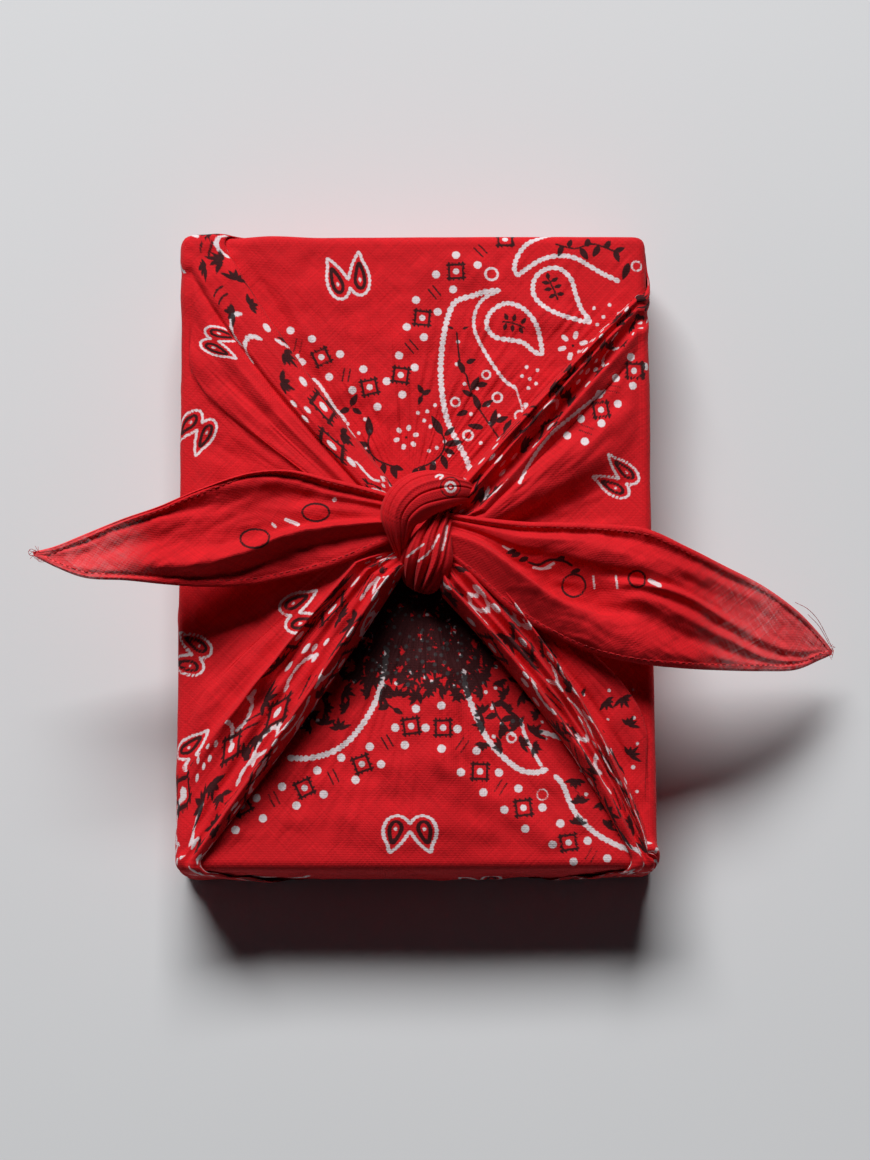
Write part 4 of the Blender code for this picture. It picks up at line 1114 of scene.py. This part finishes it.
def sewing_thread(colour):
    """Red cotton thread, a little darker than the cloth, with its own fine fibres."""
    material, nodes, shader = new_finish("sewing thread")
    place = nodes.add("ShaderNodeTexCoord").outputs["Object"]
    fibres = nodes.noise(place, 4200.0, 2.0, 0.6)
    shade = nodes.span(fibres, 0.3, 0.7, 0.55, 0.95, smooth=False)
    nodes.put(shader.inputs["Base Color"], nodes.mix(1.0, colour, shade, "MULTIPLY"))
    nodes.put(shader.inputs["Roughness"], nodes.span(fibres, 0.2, 0.8, 0.7, 0.9, smooth=False))
    nodes.put(shader.inputs["Normal"], nodes.relief(fibres, 0.4, 0.0001))
    return material


def carton_board(colour):
    """Plain brown board with short fibres."""
    material, nodes, shader = new_finish("carton board")
    place = nodes.add("ShaderNodeTexCoord").outputs["Object"]
    fibres = nodes.noise(nodes.stretch(place, (60.0, 900.0, 900.0)), 1.0, 4.0, 0.7)
    flecks = nodes.noise(place, 520.0, 3.0, 0.6)
    both = nodes.math("ADD", nodes.math("MULTIPLY", fibres, 0.6), nodes.math("MULTIPLY", flecks, 0.4))
    shade = nodes.span(both, 0.3, 0.7, 0.84, 1.14, smooth=False)
    nodes.put(shader.inputs["Base Color"], nodes.mix(1.0, colour, shade, "MULTIPLY"))
    nodes.put(shader.inputs["Roughness"], nodes.span(flecks, 0.2, 0.8, 0.72, 0.9, smooth=False))
    nodes.put(shader.inputs["Normal"], nodes.relief(both, 0.25, 0.0002))
    return material


def pale_table(colour):
    material, nodes, shader = new_finish("pale table top")
    place = nodes.add("ShaderNodeTexCoord").outputs["Object"]
    cloud = nodes.noise(place, 3.0, 3.0, 0.5)
    shade = nodes.span(cloud, 0.3, 0.7, 0.985, 1.015, smooth=False)
    nodes.put(shader.inputs["Base Color"], nodes.mix(1.0, colour, shade, "MULTIPLY"))
    shader.inputs["Roughness"].default_value = 0.75
    shader.inputs["Specular IOR Level"].default_value = 0.2
    return material


# Threads


def repeat_tree():
    """A node tree that sets one short, bent thread after another along a path."""
    tree = bpy.data.node_groups.new("threads along a path", "GeometryNodeTree")
    sockets = (("Path", "Geometry"), ("Spacing", "Float"), ("Length", "Float"), ("Thickness", "Float"),
               ("Bend", "Float"), ("Looseness", "Float"), ("Seed", "Int"), ("Finish", "Material"))
    for key, kind in sockets:
        tree.interface.new_socket(name=key, in_out="INPUT", socket_type="NodeSocket" + kind)
    tree.interface.new_socket(name="Threads", in_out="OUTPUT", socket_type="NodeSocketGeometry")
    nodes = Nodes(tree)
    given = nodes.add("NodeGroupInput").outputs

    def joined(kind, inputs, **settings):
        node = nodes.add(kind, **settings)
        for key, value in inputs.items():
            nodes.put(node.inputs[key], value)
        return node.outputs[0]

    def vector(x, y, z):
        return joined("ShaderNodeCombineXYZ", {"X": x, "Y": y, "Z": z})

    path = joined("GeometryNodeMeshToCurve", {"Mesh": given["Path"]})
    path = joined("GeometryNodeResampleCurve", {"Curve": path, "Length": given["Spacing"]}, mode="LENGTH")
    half = nodes.math("MULTIPLY", given["Length"], 0.5)
    start = nodes.math("MULTIPLY", given["Length"], -0.5)
    bent = joined("GeometryNodeCurveQuadraticBezier", {
        "Resolution": 5, "Start": vector(start, 0.0, 0.0),
        "Middle": vector(0.0, given["Bend"], given["Bend"]), "End": vector(half, 0.0, 0.0)})
    circle = nodes.add("GeometryNodeCurvePrimitiveCircle", mode="RADIUS")
    circle.inputs["Resolution"].default_value = 5
    nodes.put(circle.inputs["Radius"], nodes.math("MULTIPLY", given["Thickness"], 0.5))
    tube = joined("GeometryNodeCurveToMesh", {
        "Curve": bent, "Profile Curve": circle.outputs[0], "Fill Caps": True})
    toward = nodes.add("GeometryNodeInputNamedAttribute", data_type="FLOAT_VECTOR")
    toward.inputs["Name"].default_value = "toward"
    turn = joined("FunctionNodeAlignRotationToVector", {"Vector": toward.outputs[0]}, axis="X")
    loose = nodes.math("MULTIPLY", given["Looseness"], -1.0)
    shake = nodes.add("FunctionNodeRandomValue", data_type="FLOAT_VECTOR")
    nodes.put(shake.inputs[0], vector(loose, loose, loose))
    nodes.put(shake.inputs[1], vector(given["Looseness"], given["Looseness"], given["Looseness"]))
    nodes.put(shake.inputs["Seed"], given["Seed"])
    shake = joined("FunctionNodeEulerToRotation", {"Euler": shake.outputs[0]})
    turn = joined("FunctionNodeRotateRotation", {"Rotation": turn, "Rotate By": shake},
                  rotation_space="LOCAL")
    grow = nodes.add("FunctionNodeRandomValue", data_type="FLOAT")
    grow.inputs[2].default_value = 0.7
    grow.inputs[3].default_value = 1.25
    nodes.put(grow.inputs["Seed"], given["Seed"])
    each = joined("GeometryNodeInstanceOnPoints", {
        "Points": path, "Instance": tube, "Rotation": turn, "Scale": grow.outputs[1]})
    each = joined("GeometryNodeRealizeInstances", {"Geometry": each})
    each = joined("GeometryNodeSetMaterial", {"Geometry": each, "Material": given["Finish"]})
    nodes.put(nodes.add("NodeGroupOutput").inputs[0], each)
    return tree


def threads_along(name, tree, paths, **given):
    """Threads along paths, each a run of points with the way that its threads point, as one plain mesh."""
    points, toward, edges = [], [], []
    for run, ways in paths:
        edges += [(len(points) + k, len(points) + k + 1) for k in range(len(run) - 1)]
        points += [tuple(point * MM) for point in run]
        toward += [tuple(way) for way in ways]
    data = bpy.data.meshes.new(name + "_path")
    data.from_pydata(points, edges, [])
    attribute = data.attributes.new("toward", "FLOAT_VECTOR", "POINT")
    attribute.data.foreach_set("vector", np.array(toward, dtype=np.float32).ravel())
    path = bpy.data.objects.new(name + "_path", data)
    bpy.context.scene.collection.objects.link(path)
    modifier = path.modifiers.new("threads", "NODES")
    modifier.node_group = tree
    for item in tree.interface.items_tree:
        if item.in_out == "INPUT" and item.name in given:
            modifier[item.identifier] = given[item.name]
    made = bpy.data.meshes.new_from_object(path.evaluated_get(bpy.context.evaluated_depsgraph_get()))
    path.modifiers.clear()
    bpy.data.objects.remove(path)
    made.name = name
    thing = bpy.data.objects.new(name, made)
    bpy.context.scene.collection.objects.link(thing)
    return thing


def end_print(name, x, y):
    """The motifs that show on a free end."""
    ink = Ink(x, y)
    for half, kind, points in END_STROKES[name]:
        ink.stroke(points, half, kind)
    turns = np.linspace(0, 6.28, 14)
    for x0, y0, wide, high in END_OVALS.get(name, ()):
        ink.stroke([(x0 + wide * math.cos(a), y0 + high * math.sin(a)) for a in turns], 0.35, "black")
    for x0, y0, radius in END_RINGS.get(name, ()):
        ink.ring(x0, y0, radius, 0.35, "black")
    if name == "left_end":
        ink.dot(-25.0, 14.6, 0.7)
    else:
        for place in ((33.0, -2.6), (35.4, -4.0), (31.6, -1.6), (46.8, -4.0), (51.6, -7.8)):
            ink.leaf(*place, 200.0, 3.4, 0.8)
    return ink.done()


def end_threads(name, points, across, sizes, thread, tree):
    """The stitches of both hems of a free end, its frayed threads and those that have come loose."""
    stitches = threads_along(
        name + "_stitches", tree, hem_paths(points, across, 0.08, 0.93), Spacing=sizes.stitch_spacing,
        Length=sizes.stitch_spacing * 0.6, Thickness=sizes.thread_thickness * 1.3, Bend=0.00012,
        Looseness=0.08, Seed=3, Finish=thread)
    frayed = threads_along(
        name + "_frayed_threads", tree, tip_paths(points), Spacing=0.0006, Length=0.0028,
        Thickness=sizes.thread_thickness * 0.6, Bend=0.0006, Looseness=0.7, Seed=5, Finish=thread)
    runs = [smooth_path(path) for path in LOOSE_THREADS[name]]
    loose = threads_along(
        name + "_loose_threads", tree, [(run, np.gradient(run, axis=0)) for run in runs], Spacing=0.0005,
        Length=0.0008, Thickness=sizes.thread_thickness * 0.8, Bend=0.00004, Looseness=0.06, Seed=7,
        Finish=thread)
    for piece in (stitches, frayed, loose):
        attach(piece, "root")
    return [stitches, frayed, loose]


# Settings


class FuroshikiSizes(bpy.types.PropertyGroup):
    thread_pitch: bpy.props.FloatProperty(
        name="Thread pitch", description="Distance between two threads of the weave",
        default=0.00038, min=0.0001, max=0.002, precision=5, unit="LENGTH")
    weave_relief: bpy.props.FloatProperty(
        name="Weave relief", description="How strongly the weave catches the light",
        default=0.45, min=0.0, max=1.0, subtype="FACTOR")
    wrinkle_depth: bpy.props.FloatProperty(
        name="Wrinkle depth", description="Height of the soft wrinkles in the flat cloth",
        default=0.00055, min=0.0, max=0.002, precision=5, unit="LENGTH")
    stitch_spacing: bpy.props.FloatProperty(
        name="Stitch spacing", description="Distance between two stitches of the hems",
        default=0.0021, min=0.0005, max=0.01, precision=5, unit="LENGTH")
    thread_thickness: bpy.props.FloatProperty(
        name="Thread thickness", description="Thickness of the sewing thread and the frayed threads",
        default=0.00022, min=0.00005, max=0.001, precision=5, unit="LENGTH")
    light_distance: bpy.props.FloatProperty(
        name="Light distance", description="How far the soft light stands from the wrap",
        default=3.4, min=0.5, max=4.0, unit="LENGTH")
    light_power: bpy.props.FloatProperty(
        name="Light power", description="Power of the soft light in watts",
        default=147.0, min=0.0, max=500.0)


class FuroshikiColours(bpy.types.PropertyGroup):
    cotton_red: bpy.props.FloatVectorProperty(
        name="Cotton red", description="Ground colour of the printed cotton", subtype="COLOR", size=4,
        min=0.0, max=1.0, default=(0.66, 0.006, 0.012, 1.0))
    print_white: bpy.props.FloatVectorProperty(
        name="Print white", description="Colour of the white motifs", subtype="COLOR", size=4,
        min=0.0, max=1.0, default=(0.78, 0.70, 0.72, 1.0))
    print_black: bpy.props.FloatVectorProperty(
        name="Print black", description="Colour of the black motifs", subtype="COLOR", size=4,
        min=0.0, max=1.0, default=(0.007, 0.003, 0.004, 1.0))
    carton_tan: bpy.props.FloatVectorProperty(
        name="Carton tan", description="Colour of the carton inside the wrap", subtype="COLOR", size=4,
        min=0.0, max=1.0, default=(0.46, 0.34, 0.22, 1.0))
    table_pale: bpy.props.FloatVectorProperty(
        name="Table", description="Colour of the pale table top", subtype="COLOR", size=4,
        min=0.0, max=1.0, default=(0.72, 0.72, 0.73, 1.0))


def sizes_and_colours():
    scene = bpy.context.scene
    colours = scene.furoshiki_colours
    inks = [tuple(c) for c in (colours.cotton_red, colours.print_white, colours.print_black)]
    return scene.furoshiki_sizes, colours, inks


def dress(thing, material):
    thing.data.materials.append(material)
    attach(thing, "root")


# Operators


class FUROSHIKI_OT_stage(bpy.types.Operator):
    """Make the pale table, the soft light and the camera"""
    bl_idname = "furoshiki.stage"
    bl_label = "Stage"

    def execute(self, context):
        sizes, colours, _ = sizes_and_colours()
        scene = context.scene
        reach = 3.0
        data = bpy.data.meshes.new("table_top")
        data.from_pydata([(-reach, -reach, -0.0002), (reach, -reach, -0.0002), (reach, reach, -0.0002),
                          (-reach, reach, -0.0002)], [], [(0, 1, 2, 3)])
        table = bpy.data.objects.new("table_top", data)
        scene.collection.objects.link(table)
        data.materials.append(pale_table(tuple(colours.table_pale)))
        table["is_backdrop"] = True

        aim = Vector((0.0, 0.0, 0.03))
        turn, rise = math.radians(LIGHT_TURN), math.radians(LIGHT_RISE)
        way = Vector((-math.sin(turn) * math.cos(rise), math.cos(turn) * math.cos(rise), math.sin(rise)))
        lamp = bpy.data.lights.new("window_light", "AREA")
        lamp.shape = "RECTANGLE"
        lamp.size = 2 * sizes.light_distance * math.tan(math.radians(LIGHT_HALF_WIDE))
        lamp.size_y = 2 * sizes.light_distance * math.tan(math.radians(LIGHT_HALF_HIGH))
        lamp.energy = sizes.light_power
        lamp.color = (0.985, 0.995, 1.0)
        light = bpy.data.objects.new("window_light", lamp)
        light.location = aim + way * sizes.light_distance
        light.rotation_euler = way.to_track_quat("Z", "Y").to_euler()
        scene.collection.objects.link(light)

        world = bpy.data.worlds.new("soft_room")
        world.use_nodes = True
        world.node_tree.nodes["Background"].inputs["Color"].default_value = (0.80, 0.88, 1.0, 1.0)
        world.node_tree.nodes["Background"].inputs["Strength"].default_value = 0.016
        scene.world = world
        scene.view_settings.view_transform = "Standard"

        tilt, roll = math.radians(CAMERA_TILT), math.radians(CAMERA_ROLL)
        aim = Vector((*CAMERA_AIM, HEIGHT * MM))
        back = Vector((0.0, -math.sin(tilt), math.cos(tilt)))
        right, up = Vector((1, 0, 0)), Vector((0, math.cos(tilt), math.sin(tilt)))
        right, up = (math.cos(roll) * right + math.sin(roll) * up,
                     -math.sin(roll) * right + math.cos(roll) * up)
        eye = aim + back * CAMERA_DISTANCE
        lens = bpy.data.cameras.new("camera")
        lens.sensor_width = 36.0
        lens.lens = CAMERA_LENS
        lens.clip_start = 0.01
        camera = bpy.data.objects.new("camera", lens)
        camera.matrix_world = Matrix((
            (right.x, up.x, back.x, eye.x), (right.y, up.y, back.y, eye.y), (right.z, up.z, back.z, eye.z),
            (0, 0, 0, 1)))
        scene.collection.objects.link(camera)
        scene.camera = camera
        return {"FINISHED"}


class FUROSHIKI_OT_wrapped_cloth(bpy.types.Operator):
    """Make the flaps and side panels that wrap the parcel, with their gathered folds"""
    bl_idname = "furoshiki.wrapped_cloth"
    bl_label = "Wrapped cloth"

    def execute(self, context):
        sizes, colours, inks = sizes_and_colours()
        cotton = printed_cotton("printed cotton", sizes, inks)
        for name in SHEETS:
            thing = add_sheet(name, sizes)
            dress(thing, cotton)
        half_x, half_y = WIDTH / 2 - FOOT_INSET, LENGTH / 2 - FOOT_INSET
        x, y = np.meshgrid(np.linspace(-half_x, half_x, 61), np.linspace(-half_y, half_y, 81), indexing="ij")
        points = np.stack((x, y, np.full_like(x, 0.12)), axis=-1)
        attributes = square_print(x + UNDERSIDE_SHIFT, y).done()
        attributes["sheer"] = np.zeros_like(x)
        thing = mesh_of_grid("underside", points, attributes, cloth_map(x + UNDERSIDE_SHIFT, y), True)
        dress(thing, cotton)
        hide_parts("furoshiki_cloth")
        carton = bpy.data.objects["parcel"].data.materials
        carton.clear()
        carton.append(carton_board(tuple(colours.carton_tan)))
        return {"FINISHED"}


class FUROSHIKI_OT_knot(bpy.types.Operator):
    """Make the two pleated turns of the knot"""
    bl_idname = "furoshiki.knot"
    bl_label = "Knot"

    def execute(self, context):
        sizes, _, inks = sizes_and_colours()
        cotton = printed_cotton("knot cotton", sizes, inks)
        for name, rows, pleats, flat_size in (("far_bight", FAR_BIGHT, FAR_PLEATS, (0.048, 0.040)),
                                              ("near_bight", NEAR_BIGHT, NEAR_PLEATS, (0.040, 0.032))):
            points, flat = bight_points(rows, pleats)
            x = points[:, :, 0]
            y = points[:, :, 1] + PRINT_LEAN * (points[:, :, 2] - HEIGHT)
            ink = Ink(x, y)
            if name == "far_bight":
                ink.ring(11.2, 18.4, 1.5, 0.38)
                ink.ring(11.2, 18.4, 3.1, 0.2, "black")
                ink.dot(11.2, 18.4, 0.45)
                ink.stroke(((6.6, 21.6), (7.6, 22.2), (8.8, 22.0), (8.0, 21.0)), 0.32)
                ink.dot(16.0, 21.6, 0.7)
            else:
                for path in (((5.4, 10.2), (0.8, 5.9), (-2.3, 2.8)), ((2.8, 0.4), (0.4, -1.4), (-2.4, -3.6)),
                             ((10.1, 6.3), (9.4, 2.0), (8.5, -1.6)), ((7.6, 3.4), (4.6, -2.0), (1.0, -5.0))):
                    ink.stroke(path, 0.28, scallop=0.3)
            attributes = ink.done()
            attributes["sheer"] = np.zeros(x.shape)
            thing = mesh_of_grid(name, points, attributes, flat)
            dress(thing, cotton)
        return {"FINISHED"}


class FUROSHIKI_OT_free_ends(bpy.types.Operator):
    """Make the two free ends of the knot"""
    bl_idname = "furoshiki.free_ends"
    bl_label = "Free ends"

    def execute(self, context):
        sizes, _, inks = sizes_and_colours()
        cotton = printed_cotton("sheer cotton", sizes, inks, sheer=True)
        thread = sewing_thread(inks[0])
        tree = repeat_tree()
        for name, rows, flip, flat_size in (("left_end", LEFT_END, True, (0.12, 0.028)),
                                            ("right_end", RIGHT_END, False, (0.135, 0.036))):
            points = free_end_points(rows)
            x = points[:, :, 0]
            y = points[:, :, 1] + PRINT_LEAN * (points[:, :, 2] - HEIGHT)
            s = np.linspace(0, 1, END_ALONG)[:, None]
            reach = np.linalg.norm(np.diff(points, axis=1), axis=2)
            v = np.concatenate((np.zeros((x.shape[0], 1)), np.cumsum(reach, axis=1)), axis=1)
            edge = np.minimum(v, v[:, -1:] - v)
            soft = wrinkles(x, y, 71, 16.0, 3.0) * 0.35 + wrinkles(v, s * 40.0, 73, 9.0, 2.2, 22) * 0.3
            points[:, :, 2] += soft * ease(s, 0.08, 0.25) * (1 - ease(s, 0.88, 1.0)) * ease(edge, 0.0, 2.5)
            hem = ((1 - ease(edge, HEM_WIDTH * 0.8, HEM_WIDTH * 1.1)) * 0.35
                   - (1 - ease(edge, 0.0, 0.7)) * 0.5)
            points[:, :, 2] += hem * (1 - ease(s, 0.95, 1.0))
            attributes = end_print(name, x, y)
            attributes["sheer"] = ease(s, *SHEER_FROM[name]) * np.ones_like(x)
            run = np.linalg.norm(np.diff(points, axis=0), axis=2)
            u = np.concatenate((np.zeros((1, x.shape[1])), np.cumsum(run, axis=0)))
            edge_run = v
            v = v - v[:, v.shape[1] // 2][:, None]
            u = u[:, x.shape[1] // 2][:, None] * np.ones_like(x)
            thing = mesh_of_grid(name, points, attributes, cloth_map(u, v), flip)
            dress(thing, cotton)
            threads = end_threads(name, points, edge_run, sizes, thread, tree)
        return {"FINISHED"}


class FUROSHIKI_PT_panel(bpy.types.Panel):
    bl_label = "Furoshiki wrap"
    bl_idname = "FUROSHIKI_PT_panel"
    bl_space_type = "VIEW_3D"
    bl_region_type = "UI"
    bl_category = "Furoshiki"

    def draw(self, context):
        layout = self.layout
        for group in (context.scene.furoshiki_sizes, context.scene.furoshiki_colours):
            for key in group.__annotations__:
                layout.prop(group, key)
        for operator in OPERATORS:
            layout.operator(operator.bl_idname)


OPERATORS = (FUROSHIKI_OT_stage, FUROSHIKI_OT_wrapped_cloth, FUROSHIKI_OT_knot, FUROSHIKI_OT_free_ends)
CLASSES = (FuroshikiSizes, FuroshikiColours) + OPERATORS + (FUROSHIKI_PT_panel,)


def register():
    for item in CLASSES:
        bpy.utils.register_class(item)
    bpy.types.Scene.furoshiki_sizes = bpy.props.PointerProperty(type=FuroshikiSizes)
    bpy.types.Scene.furoshiki_colours = bpy.props.PointerProperty(type=FuroshikiColours)


def unregister():
    del bpy.types.Scene.furoshiki_colours
    del bpy.types.Scene.furoshiki_sizes
    for item in reversed(CLASSES):
        bpy.utils.unregister_class(item)


def main():
    register()
    bpy.ops.furoshiki.stage()
    bpy.ops.furoshiki.wrapped_cloth()
    bpy.ops.furoshiki.knot()
    bpy.ops.furoshiki.free_ends()
    boxes = {"cad": SOLID_BOX, "visual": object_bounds()}
    boxes = {key: [[float(v) for v in corner] for corner in box] for key, box in boxes.items()}


if __name__ == "__main__":
    main()
